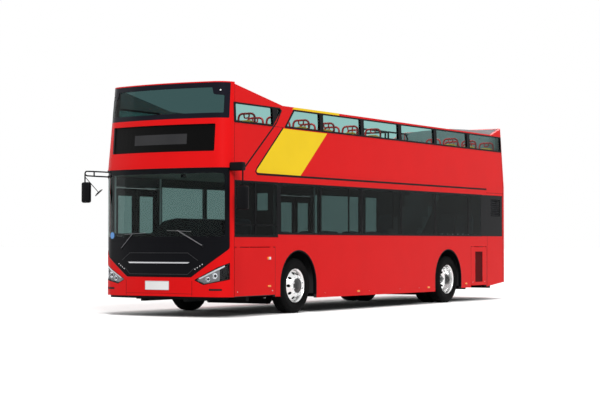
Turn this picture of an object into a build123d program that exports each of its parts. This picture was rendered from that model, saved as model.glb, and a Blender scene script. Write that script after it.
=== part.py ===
from build123d import *
from math import atan2, cos, pi, radians, sin, sqrt
import os

os.makedirs("parts", exist_ok=True)

# Open-top double-deck electric city bus, left-hand drive.
# Millimetres, +X forward, +Y to the bus's left, +Z up.
# Origin on the ground, midway along the length and the width.

# Overall sizes
LENGTH = 10955
WIDTH = 2550
HEIGHT = 3870
FRONT = LENGTH / 2
REAR = -LENGTH / 2
HALF = WIDTH / 2
WALL = 60
GLASS = 8
JOINT = 0.3
PANEL_GAP = 6

# Body levels
WAIST = 2450
MOULDING = 2376
RAIL = 3578
RAIL_FALL = 18
FIN_TOP = 3737
SIDE_TOP_FRONT = 3843
CHEEK_LENGTH = 1545
FIN_LENGTH = 607

# Plan of the body: bulging nose, round corners, and the lean of the upper deck's walls
NOSE_R = 4450
CORNER_R = 285
REAR_R = 110
LEAN = 120
TUMBLE = 65
REAR_LEAN = 60
NOSE_SIDES = 10
CORNER_SIDES = 10
REAR_SIDES = 5
FLAT_TWIST = 1e-6

# Axles, wheels and tyres
FRONT_OVERHANG = 2407
WHEELBASE = 5850
FRONT_AXLE_X = FRONT - FRONT_OVERHANG
REAR_AXLE_X = FRONT_AXLE_X - WHEELBASE
TYRE_R = 479
TYRE_W = 275
TYRE_SIDES = 60
RIM_R = 290
RIM_SIDES = 24
AXLE_Z = TYRE_R
WHEEL_FACE_Y = 1215
FRONT_WHEEL_Y = WHEEL_FACE_Y - TYRE_W / 2
DUAL_PITCH = 318
KINGPIN_Y = 905
KINGPIN_R = 45
SPINDLE_R = 45
STUB_R = 62
DISC_OFFSET = DUAL_PITCH / 2
DISC_T = 16
STEER_ARM = 230
STEER_ARM_Z = 355
TIE_Z = 215
TIE_PIN_R = 18

# Wheel arches and the boxes over the wheels
ARCH_R = 590
ARCH_Z = 500
FRONT_ARCH_X = FRONT_AXLE_X + 15
REAR_ARCH_X = REAR_AXLE_X + 90
BOX_WALL = 20
FRONT_BOX_Y = 585
REAR_BOX_Y = 530
BOX_TOP = 1140

# Floors, rear compartment and chassis
LOW_FLOOR = 360
FLOOR_T = 30
REAR_PLATFORM = 760
PLATFORM_X = REAR_AXLE_X - 640
COMPARTMENT_X = REAR + 1220
DECK = 2420
DECK_T = 60
RAIL_Y = 440
RAIL_W = 80
RAIL_Z0 = 250
RAIL_Z1 = LOW_FLOOR - FLOOR_T
RAIL_END = 200
SOCKET_R = 17
SOCKET_DEPTH = 100
PAD_T = 20

# Side glazing
BAND_TOP = 2247
BAND_LOW = 1365
CAB_LOW = 1319
UPPER_GLASS_LOW = 3205
UPPER_GLASS_TOP = 3505
PILLAR = 60

# Doors: leaves on turning posts that glide inwards
DOOR_LOW = 392
DOOR_TOP = 2170
DOOR_HEAD = DOOR_TOP + 36
DOOR_T = 40
DOOR_INSET = 4
SILL_T = 5
JAMB_GAP = 12
MEET_GAP = 14
POST_BACK = 45
POST_IN = 62
POST_R = 18
PIVOT_IN = 8
ARM_T = 16
ARM_W = 34
BOSS_R = 20
DOOR_PIN_R = 9
LEAF_Y = -HALF + DOOR_INSET + DOOR_T / 2

# Stairs to the open deck, climbing rearwards on the left
STAIR_FRONT = REAR_AXLE_X + 2330
STAIR_RUN = 240
STAIR_STEPS = 9
STAIR_Y0 = 560
STAIR_Y1 = HALF - WALL
STAIR_REAR = STAIR_FRONT - STAIR_RUN * (STAIR_STEPS - 1)
GUARD_HEIGHT = 1030
BAR_R = 17
BAR_SIDES = 12


# Basic shapes

def box(x0, x1, y0, y1, z0, z1):
    """Block between two corners."""
    return Pos((x0 + x1) / 2, (y0 + y1) / 2, (z0 + z1) / 2) * Box(x1 - x0, y1 - y0, z1 - z0)


def side_box(side, x0, x1, y0, y1, z0, z1):
    """Block on one side of the bus: y0 and y1 are measured outwards from its middle."""
    low, high = sorted((side * y0, side * y1))
    return box(x0, x1, low, high, z0, z1)


def rectangle(u0, u1, v0, v1):
    """Corner points of a rectangle, for the prisms."""
    return [(u0, v0), (u1, v0), (u1, v1), (u0, v1)]


def prism_xz(points, y0, y1):
    """Side view polygon of (x, z) points, from y0 to y1."""
    face = Face(Wire.make_polygon([(x, y0, z) for x, z in points], close=True))
    return extrude(face, amount=y1 - y0, dir=(0, 1, 0))


def prism_yz(points, x0, x1):
    """Front view polygon of (y, z) points, from x0 to x1."""
    face = Face(Wire.make_polygon([(x0, y, z) for y, z in points], close=True))
    return extrude(face, amount=x1 - x0, dir=(1, 0, 0))


def prism_xy(points, z0, z1):
    """Plan polygon of (x, y) points, from z0 to z1."""
    face = Face(Wire.make_polygon([(x, y, z0) for x, y in points], close=True))
    return extrude(face, amount=z1 - z0, dir=(0, 0, 1))


def rod(start, end, radius):
    """Round pin between two points."""
    run = Vector(*end) - Vector(*start)
    plane = Plane(origin=start, z_dir=run)
    return plane * Pos(0, 0, run.length / 2) * Cylinder(radius, run.length)


def bar(start, end, radius, sides=BAR_SIDES):
    """Tube in flats between two points."""
    run = Vector(*end) - Vector(*start)
    plane = Plane(origin=start, z_dir=run)
    return extrude(plane * RegularPolygon(radius, sides), amount=run.length)


def bent_bar(points, radius, sides=BAR_SIDES):
    """Tube in flats along straight runs, mitred where they meet."""
    plane = Plane(origin=points[0], z_dir=Vector(*points[1]) - Vector(*points[0]))
    return sweep(plane * RegularPolygon(radius, sides), path=Polyline(*points), transition=Transition.RIGHT)


def turned(profile, sides):
    """Round form in flats about the Z axis, from a closed profile of (radius, z) points."""
    rows = []
    for k in range(sides):
        angle = 2 * pi * k / sides
        rows.append([(r * cos(angle), r * sin(angle), z) for r, z in profile])
    faces = []
    for k, row in enumerate(rows):
        after = rows[(k + 1) % sides]
        for j in range(len(profile)):
            corners = [row[j - 1], row[j], after[j], after[j - 1]]
            faces.append(Face(Wire.make_polygon(corners, close=True)))
    return Solid(Shell(faces))


def across(shape, x=0.0, y=0.0, z=0.0):
    """A form made about the Z axis, laid about a Y axis through (x, z), with its zero at y."""
    return Pos(x, y, z) * Rot(-90, 0, 0) * shape


def other_side(shape):
    """The same shape across the bus's middle."""
    return mirror(shape, about=Plane.XZ)


def write(name, *shapes):
    """Write one node of one or more solids."""
    found = []
    for shape in shapes:
        found += list(shape.solids()) if hasattr(shape, "solids") else list(shape)
    export_step(Compound(children=found), f"parts/{name}.step")


# Envelope

def rise_at(z):
    """Share of the upper deck's lean at this height."""
    return max(0.0, (z - WAIST) / (HEIGHT - WAIST))


def arc_points(centre_x, centre_y, radius, start, end, sides):
    """Points of an arc in flats, from one angle to another."""
    angles = [start + (end - start) * k / sides for k in range(sides + 1)]
    return [(centre_x + radius * cos(a), centre_y + radius * sin(a)) for a in angles]


def plan_points(z, inset=0.0):
    """Body outline in plan at one height, moved inwards by inset, anticlockwise from the nose."""
    rise = rise_at(z)
    centre_x = FRONT - LEAN * rise - NOSE_R
    corner_y = HALF - TUMBLE * rise - CORNER_R
    corner_x = centre_x + sqrt((NOSE_R - CORNER_R) ** 2 - corner_y ** 2)
    turn = atan2(corner_y, corner_x - centre_x)
    rear_x = REAR + REAR_LEAN * rise + REAR_R
    rear_y = HALF - TUMBLE * rise - REAR_R
    left = arc_points(centre_x, 0, NOSE_R - inset, 0, turn, NOSE_SIDES)
    left += arc_points(corner_x, corner_y, CORNER_R - inset, turn, pi / 2, CORNER_SIDES)[1:]
    left += arc_points(rear_x, rear_y, REAR_R - inset, pi / 2, pi, REAR_SIDES)
    right = [(x, -y) for x, y in reversed(left[1:])]
    return [(x, y, z) for x, y in left + right]


def seam_x(z=0.0):
    """Where the nose's corner meets the straight side."""
    rise = rise_at(z)
    nose_x = FRONT - LEAN * rise
    return nose_x - NOSE_R + sqrt((NOSE_R - CORNER_R) ** 2 - (HALF - TUMBLE * rise - CORNER_R) ** 2)


def lower_form(inset, z0, z1):
    """Upright part of the envelope."""
    outline = Wire.make_polygon(plan_points(z0, inset), close=True)
    return extrude(Face(outline), amount=z1 - z0, dir=(0, 0, 1))


def upper_form(inset):
    """Leaning part of the envelope; a side that would twist is cut along its diagonal."""
    low = plan_points(WAIST, inset)
    top = plan_points(HEIGHT, inset)
    faces = [Face(Wire.make_polygon(ring, close=True)) for ring in (low, top)]
    for k in range(len(low)):
        a, b, c, d = low[k - 1], low[k], top[k], top[k - 1]
        twist = (b[0] - a[0]) * (c[1] - d[1]) - (b[1] - a[1]) * (c[0] - d[0])
        corners = [(a, b, c, d)] if abs(twist) < FLAT_TWIST else [(a, b, c), (a, c, d)]
        faces += [Face(Wire.make_polygon(list(c), close=True)) for c in corners]
    return Solid(Shell(faces))


def layer(outer, inner):
    """Everything between two insets of the envelope."""
    low = lower_form(outer, 200, WAIST) - lower_form(inner, 200, WAIST)
    high = upper_form(outer) - upper_form(inner)
    return low, high


SEAM = seam_x()
SEAM_TOP = seam_x(HEIGHT)
REAR_SEAM = REAR + 153
CHEEK_END_X = SEAM - CHEEK_LENGTH
FIN_X = REAR + FIN_LENGTH

shell_low, shell_high = layer(0, WALL)
skin_low, skin_high = layer(0, GLASS)
inner_low = lower_form(WALL, 200, WAIST)

# Lower edge and upper edge of the body in side view, (x, z)
skirt = [
    (FRONT + 50, 345), (FRONT_ARCH_X + ARCH_R, 307), (FRONT_AXLE_X, 307), (FRONT_AXLE_X, 255),
    (REAR_AXLE_X, 244), (REAR_AXLE_X, 287), (REAR + 957, 292), (REAR + 92, 373), (REAR - 50, 380),
]
crown = [
    (REAR - 50, FIN_TOP), (REAR + 66, FIN_TOP), (FIN_X, RAIL - RAIL_FALL), (CHEEK_END_X, RAIL),
    (SEAM, SIDE_TOP_FRONT), (SEAM_TOP, HEIGHT), (FRONT + 50, HEIGHT),
]
side_view = prism_xz(skirt + crown, -HALF - 50, HALF + 50)


def arch(x, y0, y1):
    """Space of one wheel arch."""
    top = rod((x, y0, ARCH_Z), (x, y1, ARCH_Z), ARCH_R)
    return top + box(x - ARCH_R, x + ARCH_R, y0, y1, 150, ARCH_Z)


# Hatches in the left side, (name, front x, rear x, low z, top z)
HATCHES = [
    ("left_front_hatch", SEAM - 8, SEAM - 1235, 345, 1155),
    ("left_rear_hatch", REAR + 1738, REAR + 980, 330, 1147),
]
HATCH_GAP = 8
HATCH_T = 30
HINGE_R = 8
HINGE_LENGTH = 100
HINGE_PLATE = 6
LID_DROP = 3

# Door openings in the right side, (name, rear x, front x)
DOORS = [
    ("front", SEAM - 1243, SEAM - 28),
    ("middle", REAR_AXLE_X + 1360, REAR_AXLE_X + 2620),
]

# Pillar lines between the side windows
PILLARS = [SEAM - 2717, SEAM - 4187, SEAM - 5731, SEAM - 7174, SEAM - 8688]

# Lower windows, (rear x, front x, low z)
BAND_REAR = REAR + 178
LEFT_WINDOWS = [
    (SEAM - 1318, SEAM - 11, CAB_LOW),
    (PILLARS[0], SEAM - 1373, BAND_LOW),
    (PILLARS[1], PILLARS[0], BAND_LOW),
    (PILLARS[2], PILLARS[1], BAND_LOW),
    (PILLARS[3], PILLARS[2], BAND_LOW),
    (PILLARS[4], PILLARS[3], BAND_LOW),
    (COMPARTMENT_X, PILLARS[4], BAND_LOW),
]
RIGHT_WINDOWS = [
    (PILLARS[0], DOORS[0][1] - 90, BAND_LOW),
    (PILLARS[1], PILLARS[0], BAND_LOW),
    (DOORS[1][2] + 60, PILLARS[1], BAND_LOW),
    (PILLARS[4], DOORS[1][1] - 60, BAND_LOW),
    (COMPARTMENT_X, PILLARS[4], BAND_LOW),
]
# Upper windows, (rear x low, rear x top, front x low, front x top)
UPPER_WINDOWS = [
    (SEAM - 1133, SEAM - 1383, SEAM - 83, SEAM - 83),
    (PILLARS[0], PILLARS[0], SEAM - 1533, SEAM - 1813),
    (PILLARS[1], PILLARS[1], PILLARS[0], PILLARS[0]),
    (PILLARS[2], PILLARS[2], PILLARS[1], PILLARS[1]),
    (PILLARS[3], PILLARS[3], PILLARS[2], PILLARS[2]),
    (PILLARS[4], PILLARS[4], PILLARS[3], PILLARS[3]),
    (REAR + 198, REAR + 198, PILLARS[4], PILLARS[4]),
]


def window_prism(window, low, top, shrink):
    """Four-sided window in side view, moved inwards by shrink, through the left wall."""
    rear_low, rear_top, front_low, front_top = window
    outline = [
        (rear_low + shrink, low + shrink), (front_low - shrink, low + shrink),
        (front_top - shrink, top - shrink), (rear_top + shrink, top - shrink),
    ]
    return prism_xz(outline, HALF - WALL - 90, HALF + 20)


def lower_side(windows):
    """One lower side wall with its window openings, and its panes, on the left."""
    wall = (shell_low & box(REAR_SEAM, SEAM, HALF - WALL - 1, HALF + 1, 0, MOULDING)) & side_view
    wall -= arch(FRONT_ARCH_X, 0, HALF + 20)
    wall -= arch(REAR_ARCH_X, 0, HALF + 20)
    outer = box(REAR, FRONT, HALF - GLASS, HALF + 20, 0, HEIGHT)
    panes = []
    for rear_x, front_x, low in windows:
        window = (rear_x, rear_x, front_x, front_x)
        wall -= window_prism(window, low, BAND_TOP, PILLAR / 2)
        wall -= window_prism(window, low, BAND_TOP, 0) & outer
        pane = window_prism(window, low, BAND_TOP, PANEL_GAP / 2)
        panes.append(pane & box(REAR, FRONT, HALF - GLASS, HALF, 0, HEIGHT))
    vent = (BAND_REAR, BAND_REAR, COMPARTMENT_X, COMPARTMENT_X)
    wall -= window_prism(vent, BAND_LOW, BAND_TOP, PILLAR / 2)
    wall -= window_prism(vent, BAND_LOW, BAND_TOP, 0) & outer
    return wall, panes


def upper_side():
    """One upper side with its window openings, and its panes, on the left."""
    region = box(REAR_SEAM, SEAM, 500, HALF + 1, MOULDING, HEIGHT + 50)
    seam_cut = prism_xz([
        (SEAM, WAIST), (SEAM_TOP, HEIGHT), (SEAM_TOP, HEIGHT + 60),
        (SEAM + 60, HEIGHT + 60), (SEAM + 60, WAIST),
    ], 0, HALF + 50)
    wall = ((shell_low & region) + (shell_high & region)) & side_view
    wall -= seam_cut
    panes = []
    for window in UPPER_WINDOWS:
        wall -= window_prism(window, UPPER_GLASS_LOW, UPPER_GLASS_TOP, PILLAR / 2)
        wall -= window_prism(window, UPPER_GLASS_LOW, UPPER_GLASS_TOP, 0) & skin_high
        panes += (window_prism(window, UPPER_GLASS_LOW, UPPER_GLASS_TOP, PANEL_GAP / 2) & skin_high).solids()
    return wall, panes


LOUVRE_DEPTH = 22
LOUVRE_EDGE = 8


def louvre(panel, vent, slats):
    """Flush panel with slanted slats, both given as (x0, x1, z0, z1) on the left side's plane."""
    x0, x1, z0, z1 = panel
    vent_x0, vent_x1, vent_z0, vent_z1 = vent
    sheet = box(x0, x1, HALF - GLASS, HALF, z0, z1)
    sheet -= box(vent_x0, vent_x1, HALF - GLASS - 1, HALF + 1, vent_z0, vent_z1)
    pitch = (vent_z1 - vent_z0) / slats
    slat_list = []
    for k in range(slats):
        z = vent_z0 + pitch * (k + 0.25)
        back = HALF - LOUVRE_DEPTH
        slant = [(HALF - 1, z), (HALF - 1, z + LOUVRE_EDGE)]
        slant += [(back, z + LOUVRE_EDGE + pitch / 2), (back, z + pitch / 2)]
        slat_list.append(prism_yz(slant, vent_x0, vent_x1))
    return sheet.fuse(*slat_list)


# Side walls, glazing and hatches
left_wall, left_panes = lower_side(LEFT_WINDOWS)
right_wall, right_panes = lower_side(RIGHT_WINDOWS)

hatch_lids = {}
for name, front_x, rear_x, low, top in HATCHES:
    left_wall -= box(rear_x, front_x, HALF - WALL - 1, HALF + 1, low - 100, top)
    hinge_z = top - JOINT - HINGE_R
    lid = box(rear_x + HATCH_GAP, front_x - HATCH_GAP, HALF - HATCH_T, HALF, low, hinge_z - LID_DROP)
    for x0 in (rear_x + 60, front_x - 60 - HINGE_LENGTH):
        x1 = x0 + HINGE_LENGTH
        lid += rod((x0, HALF - HINGE_R, hinge_z), (x1, HALF - HINGE_R, hinge_z), HINGE_R)
        lid += box(x0, x1, HALF - 2 * HINGE_R, HALF - HINGE_R / 2, hinge_z - HINGE_PLATE, hinge_z)
    hatch_lids[name] = lid

# Upright cooling slats in the rear hatch
SLAT_REAR, SLAT_FRONT, SLAT_LOW, SLAT_TOP = REAR + 1180, REAR + 1533, 400, 1040
SLAT_PITCH, SLAT_W, SLAT_DEPTH = 44, 16, 12
slats = []
for k in range(int((SLAT_FRONT - SLAT_REAR) / SLAT_PITCH)):
    x = SLAT_REAR + SLAT_PITCH * (k + 0.5)
    slats.append(box(x, x + SLAT_W, HALF - SLAT_DEPTH, HALF - 2, SLAT_LOW, SLAT_TOP))
rear_lid_left = hatch_lids["left_rear_hatch"]
rear_lid_left -= box(SLAT_REAR, SLAT_FRONT, HALF - SLAT_DEPTH, HALF + 1, SLAT_LOW, SLAT_TOP)
hatch_lids["left_rear_hatch"] = rear_lid_left.fuse(*slats)

right_wall = other_side(right_wall)
for name, rear_x, front_x in DOORS:
    wall_in = -HALF + WALL + 1
    right_wall -= box(rear_x, front_x, -HALF - 1, wall_in, DOOR_LOW - PANEL_GAP, DOOR_TOP + PANEL_GAP)
    right_wall -= box(rear_x, front_x, -HALF + SILL_T, wall_in, LOW_FLOOR, DOOR_HEAD)

write("side_wall_left", left_wall)
write("side_wall_right", right_wall)
write("lower_side_glass", *left_panes, *[other_side(p) for p in right_panes])
for name in hatch_lids:
    write(name, hatch_lids[name])

upper_wall, upper_panes = upper_side()
write("upper_sides", upper_wall, other_side(upper_wall))
write("upper_side_glass", *upper_panes, *[other_side(p) for p in upper_panes])

# Front: lower cowl with its windscreen and black panel, (y, z) outlines
SCREEN_LOW = 1256
SCREEN_HALF = 1240
SCREEN_EDGE = 100
NOSE_X = SEAM + 60
AHEAD = FRONT + 60
screen_outline = rectangle(-SCREEN_HALF, SCREEN_HALF, SCREEN_LOW, WAIST)
opening_half = SCREEN_HALF - SCREEN_EDGE
screen_opening = rectangle(-opening_half, opening_half, SCREEN_LOW + 70, WAIST - 90)
MASK_SIDE_LOW, MASK_LOW_HALF, MASK_LOW = 1130, 660, 655
grille_top = SCREEN_LOW - PANEL_GAP
grille_outline = [
    (-SCREEN_HALF, grille_top), (-SCREEN_HALF, MASK_SIDE_LOW), (-MASK_LOW_HALF, MASK_LOW),
    (MASK_LOW_HALF, MASK_LOW), (SCREEN_HALF, MASK_SIDE_LOW), (SCREEN_HALF, grille_top),
]
nose_region = box(SEAM, AHEAD, -HALF - 1, HALF + 1, 0, WAIST)
cowl = (shell_low & nose_region) & side_view
screen = skin_low & prism_yz(screen_outline, NOSE_X, AHEAD)
grille_panel = skin_low & prism_yz(grille_outline, NOSE_X, AHEAD)
cowl -= screen
cowl -= grille_panel
cowl -= prism_yz(screen_opening, NOSE_X, AHEAD)

# Lamps: an angular unit and a fog slot at each lower front corner, (y, z), and a tall unit at each
# rear corner
LAMP_DEPTH = 45
TAIL_Y0, TAIL_Y1, TAIL_LOW, TAIL_TOP = 960, 1120, 900, 1500
lamp_outline = [(715, 612), (880, 534), (HALF + 10, 623), (HALF + 10, 900), (1150, 870)]
fog_outline = rectangle(970, 1180, 440, 472)
lamp_layer, _ = layer(0, LAMP_DEPTH)
lamps = []
for outline in (lamp_outline, fog_outline):
    for block in (lamp_layer & prism_yz(outline, SEAM + 25, AHEAD)).solids():
        for lamp in (block, other_side(block)):
            cowl -= lamp
            lamps.append(lamp)
write("front_cowl", cowl)
write("grille_panel", grille_panel)
write("windscreen", screen)

# Upper front: destination recess and the open deck's low windscreen
SIGN_HALF, SIGN_LOW, SIGN_TOP, SIGN_INSET = 1050, 2720, 3170, 25
DECK_SCREEN_HALF, DECK_SCREEN_LOW, DECK_SCREEN_TOP = 1195, 3264, 3836
prow_region = box(SEAM_TOP - 20, AHEAD, -HALF - 1, HALF + 1, WAIST, HEIGHT)
prow = (shell_high & prow_region) & side_view
prow -= prism_xz([
    (SEAM, WAIST), (SEAM_TOP, HEIGHT), (SEAM_TOP - 60, HEIGHT + 1),
    (SEAM_TOP - 60, WAIST - 1), (SEAM, WAIST - 1),
], -HALF - 50, HALF + 50)
sign_outline = rectangle(-SIGN_HALF, SIGN_HALF, SIGN_LOW, SIGN_TOP)
sign_zone = prism_yz(sign_outline, SEAM, AHEAD)
_, sign_layer = layer(SIGN_INSET, WALL)
sign = sign_layer & sign_zone
prow -= shell_high & sign_zone
deck_screen_outline = rectangle(-DECK_SCREEN_HALF, DECK_SCREEN_HALF, DECK_SCREEN_LOW, DECK_SCREEN_TOP)
deck_screen = skin_high & prism_yz(deck_screen_outline, SEAM, AHEAD)
prow -= deck_screen
DECK_OPENING = [
    (-1100, 3352), (1100, 3352), (1100, 3635), (930, 3650), (930, 3765),
    (-930, 3765), (-930, 3650), (-1100, 3635),
]
prow -= prism_yz(DECK_OPENING, SEAM - 200, AHEAD)
write("front_upper_panel", prow)
write("destination_sign", sign)
write("front_upper_glass", deck_screen)

# Rear wall, with the openings of its lid and its grille
REAR_LID_HALF, REAR_LID_LOW, REAR_LID_TOP = 900, 460, 1250
REAR_GRILLE_HALF, REAR_GRILLE_LOW, REAR_GRILLE_TOP = 1000, 1500, BAND_TOP
rear_region = box(REAR - 1, REAR_SEAM, -HALF - 1, HALF + 1, 0, HEIGHT)
rear_wall = ((shell_low & rear_region) + (shell_high & rear_region)) & side_view
rear_wall -= box(REAR - 1, REAR + WALL + 1, -REAR_LID_HALF, REAR_LID_HALF, REAR_LID_LOW, REAR_LID_TOP)
for side in (-1, 1):
    tail_lamp = side_box(side, REAR, REAR + LAMP_DEPTH, TAIL_Y0, TAIL_Y1, TAIL_LOW, TAIL_TOP)
    rear_wall -= tail_lamp
    lamps.append(tail_lamp)
write("lamps", *lamps)
for depth, edge in ((GLASS, 0), (WALL + 1, PILLAR)):
    half = REAR_GRILLE_HALF - edge
    rear_wall -= box(REAR - 1, REAR + depth, -half, half, REAR_GRILLE_LOW + edge, REAR_GRILLE_TOP - edge)
write("rear_wall", rear_wall)

# Louvred black panels beside and behind the rear compartment
fit = PANEL_GAP / 2
side_vent = louvre(
    (BAND_REAR + fit, COMPARTMENT_X - fit, BAND_LOW + fit, BAND_TOP - fit),
    (REAR + 290, REAR + 770, 1800, 2158), 8)
rear_vent = louvre(
    (fit - REAR_GRILLE_HALF, REAR_GRILLE_HALF - fit, REAR_GRILLE_LOW + fit, REAR_GRILLE_TOP - fit),
    (-800, 800, 1620, 2140), 10)
write("vent_panels", side_vent, other_side(side_vent), Pos(REAR + HALF, 0, 0) * Rot(0, 0, 90) * rear_vent)

rear_hinge_z = REAR_LID_TOP - JOINT - HINGE_R
lid_half = REAR_LID_HALF - HATCH_GAP
rear_lid = box(REAR, REAR + HATCH_T, -lid_half, lid_half, REAR_LID_LOW + HATCH_GAP, rear_hinge_z - LID_DROP)
for y0 in (120 - REAR_LID_HALF, REAR_LID_HALF - 120 - HINGE_LENGTH):
    y1 = y0 + HINGE_LENGTH
    rear_lid += rod((REAR + HINGE_R, y0, rear_hinge_z), (REAR + HINGE_R, y1, rear_hinge_z), HINGE_R)
    rear_lid += box(REAR + HINGE_R / 2, REAR + 2 * HINGE_R, y0, y1, rear_hinge_z - HINGE_PLATE, rear_hinge_z)
write("rear_hatch", rear_lid)

# Inner lining of the open deck's rear wall
TRIM_T, TRIM_HALF = 80, 1100
trim_outline = [
    (-TRIM_HALF, DECK), (TRIM_HALF, DECK), (TRIM_HALF, 3640), (650, 3715),
    (0, 3770), (-650, 3750), (-TRIM_HALF, 3715),
]
write("rear_trim", upper_form(WALL) & prism_yz(trim_outline, REAR, REAR + WALL + TRIM_T))

# Wheel boxes, let into the low floor: (centre x, inner y)
WHEEL_BOXES = [(FRONT_ARCH_X, FRONT_BOX_Y), (REAR_ARCH_X, REAR_BOX_Y)]
low_slab = inner_low & box(PLATFORM_X, FRONT, -HALF, HALF, RAIL_Z1, LOW_FLOOR)
reach = ARCH_R + BOX_WALL
wheel_boxes = []
for side in (-1, 1):
    for x, inner_y in WHEEL_BOXES:
        outer = side_box(side, x - reach, x + reach, inner_y, HALF - WALL, RAIL_Z1, BOX_TOP)
        cover = BOX_TOP - BOX_WALL
        inner = side_box(side, x - ARCH_R, x + ARCH_R, inner_y + BOX_WALL, HALF, RAIL_Z1 - 1, cover)
        low_slab -= outer
        wheel_boxes.append(outer - inner)
write("lower_floor", low_slab)
write("wheel_boxes", *wheel_boxes)

# Raised rear floor, its riser, and the bulkhead of the rear compartment
platform_low = REAR_PLATFORM - FLOOR_T
platform = inner_low & box(COMPARTMENT_X, PLATFORM_X, -HALF, HALF, platform_low, REAR_PLATFORM)
riser = inner_low & box(PLATFORM_X - FLOOR_T, PLATFORM_X, -HALF, HALF, RAIL_Z1, REAR_PLATFORM)
bulkhead = inner_low & box(COMPARTMENT_X, COMPARTMENT_X + FLOOR_T, -HALF, HALF, platform_low, DECK - DECK_T)
write("rear_platform", platform.fuse(riser, bulkhead))

# Drive battery and motor, one block in the rear compartment
write("battery_pack", box(REAR + WALL + 40, COMPARTMENT_X, -1100, 1100, RAIL_Z1, 2300))

deck = inner_low & box(REAR, FRONT, -HALF, HALF, DECK - DECK_T, DECK)
deck -= box(STAIR_REAR, STAIR_FRONT, STAIR_Y0, STAIR_Y1 + 1, DECK - DECK_T - 1, DECK + 1)
write("upper_floor", deck)

# Staircase: treads and risers over a slanted soffit
STAIR_RISE = (DECK - LOW_FLOOR) / STAIR_STEPS
STAIR_SOFFIT = 60
profile = [(STAIR_FRONT, LOW_FLOOR)]
for step in range(STAIR_STEPS - 1):
    x = STAIR_FRONT - step * STAIR_RUN
    z = LOW_FLOOR + (step + 1) * STAIR_RISE
    profile += [(x, z), (x - STAIR_RUN, z)]
profile[-1] = (STAIR_REAR + FLOOR_T, DECK - STAIR_RISE)
profile += [
    (STAIR_REAR + FLOOR_T, DECK), (STAIR_REAR, DECK), (STAIR_REAR, DECK - STAIR_RISE - STAIR_SOFFIT),
    (STAIR_FRONT - STAIR_SOFFIT, LOW_FLOOR),
]
write("staircase", prism_xz(profile, STAIR_Y0, STAIR_Y1))

# Guard rails round the stairwell, and upright poles on the lower deck
GUARD_CHAMFER = 90
GUARD_WALL_Y = 1120
GUARD_MIDDLE = DECK + 500
guard_y = STAIR_Y0 - BAR_R - 8
guard_top = DECK + GUARD_HEIGHT
guard_front = STAIR_FRONT + BAR_R + 8
guard_rear = STAIR_REAR + 60
guard_mid = (guard_rear + guard_front) / 2
shoulder = guard_top - GUARD_CHAMFER
guard = bent_bar([
    (guard_rear, guard_y, DECK), (guard_rear, guard_y, shoulder),
    (guard_rear + GUARD_CHAMFER, guard_y, guard_top), (guard_front - GUARD_CHAMFER, guard_y, guard_top),
    (guard_front, guard_y, shoulder), (guard_front, guard_y, DECK),
], BAR_R)
guard += bar((guard_front, guard_y, shoulder), (guard_front, GUARD_WALL_Y, shoulder), BAR_R)
guard += bar((guard_front, GUARD_WALL_Y, shoulder), (guard_front, GUARD_WALL_Y, DECK), BAR_R)
guard += bar((guard_front, guard_y, GUARD_MIDDLE), (guard_front, GUARD_WALL_Y, GUARD_MIDDLE), BAR_R * 0.8)
guard += bar((guard_rear, guard_y, GUARD_MIDDLE), (guard_front, guard_y, GUARD_MIDDLE), BAR_R * 0.8)
guard += bar((guard_mid, guard_y, DECK), (guard_mid, guard_y, guard_top), BAR_R)
POLES = [(FRONT_ARCH_X + 565, 540), (REAR_ARCH_X + 940, -540), (REAR_ARCH_X + 940, 500)]
poles = [bar((x, y, LOW_FLOOR), (x, y, DECK - DECK_T), BAR_R) for x, y in POLES]
write("grab_rails", guard, *poles)

# Chassis under the floor: two rails with towing sockets, cross members and jacking pads
rail_rear, rail_front = REAR + RAIL_END, FRONT - RAIL_END
rail_y0, rail_y1 = RAIL_Y - RAIL_W / 2, RAIL_Y + RAIL_W / 2
chassis = box(rail_rear, rail_front, rail_y0, rail_y1, RAIL_Z0, RAIL_Z1)
chassis += other_side(chassis)
CROSS_X = [
    FRONT_AXLE_X + 1430, FRONT_AXLE_X - 1170, FRONT_AXLE_X - 2370, FRONT_AXLE_X - 3570,
    REAR_AXLE_X + 1080, REAR_AXLE_X - 920, REAR + 577,
]
for x in CROSS_X:
    chassis += box(x - 40, x + 40, -1150, 1150, RAIL_Z0, RAIL_Z1)
PAD_X = [FRONT_AXLE_X - 870, REAR_AXLE_X + 780]
for x in PAD_X:
    for side in (-1, 1):
        chassis += side_box(side, x - 60, x + 60, rail_y0, rail_y1, RAIL_Z0 - PAD_T, RAIL_Z0)
socket_z = (RAIL_Z0 + RAIL_Z1) / 2
for x0, x1 in ((rail_front - SOCKET_DEPTH, rail_front + 1), (rail_rear - 1, rail_rear + SOCKET_DEPTH)):
    chassis -= rod((x0, -RAIL_Y, socket_z), (x1, -RAIL_Y, socket_z), SOCKET_R)
write("chassis_frame", chassis)

# Front axle: dropped beam and kingpins
BEAM_Z0 = 150
NECK_Z0, NECK_Z1 = 400, 560
YOKE_Z0, YOKE_Z1, YOKE_TOP = 385, 573, 600
beam = box(FRONT_AXLE_X - 50, FRONT_AXLE_X + 50, -640, 640, BEAM_Z0, RAIL_Z0)
for side in (-1, 1):
    beam += prism_yz([
        (side * 560, BEAM_Z0), (side * 640, BEAM_Z0), (side * 835, NECK_Z0), (side * KINGPIN_Y, NECK_Z0),
        (side * KINGPIN_Y, NECK_Z1), (side * 840, NECK_Z1), (side * 600, RAIL_Z0), (side * 560, RAIL_Z0),
    ], FRONT_AXLE_X - 40, FRONT_AXLE_X + 40)
    pin_y = side * KINGPIN_Y
    beam += rod((FRONT_AXLE_X, pin_y, YOKE_Z0), (FRONT_AXLE_X, pin_y, YOKE_Z1), KINGPIN_R)
write("front_axle_beam", beam)


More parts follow.
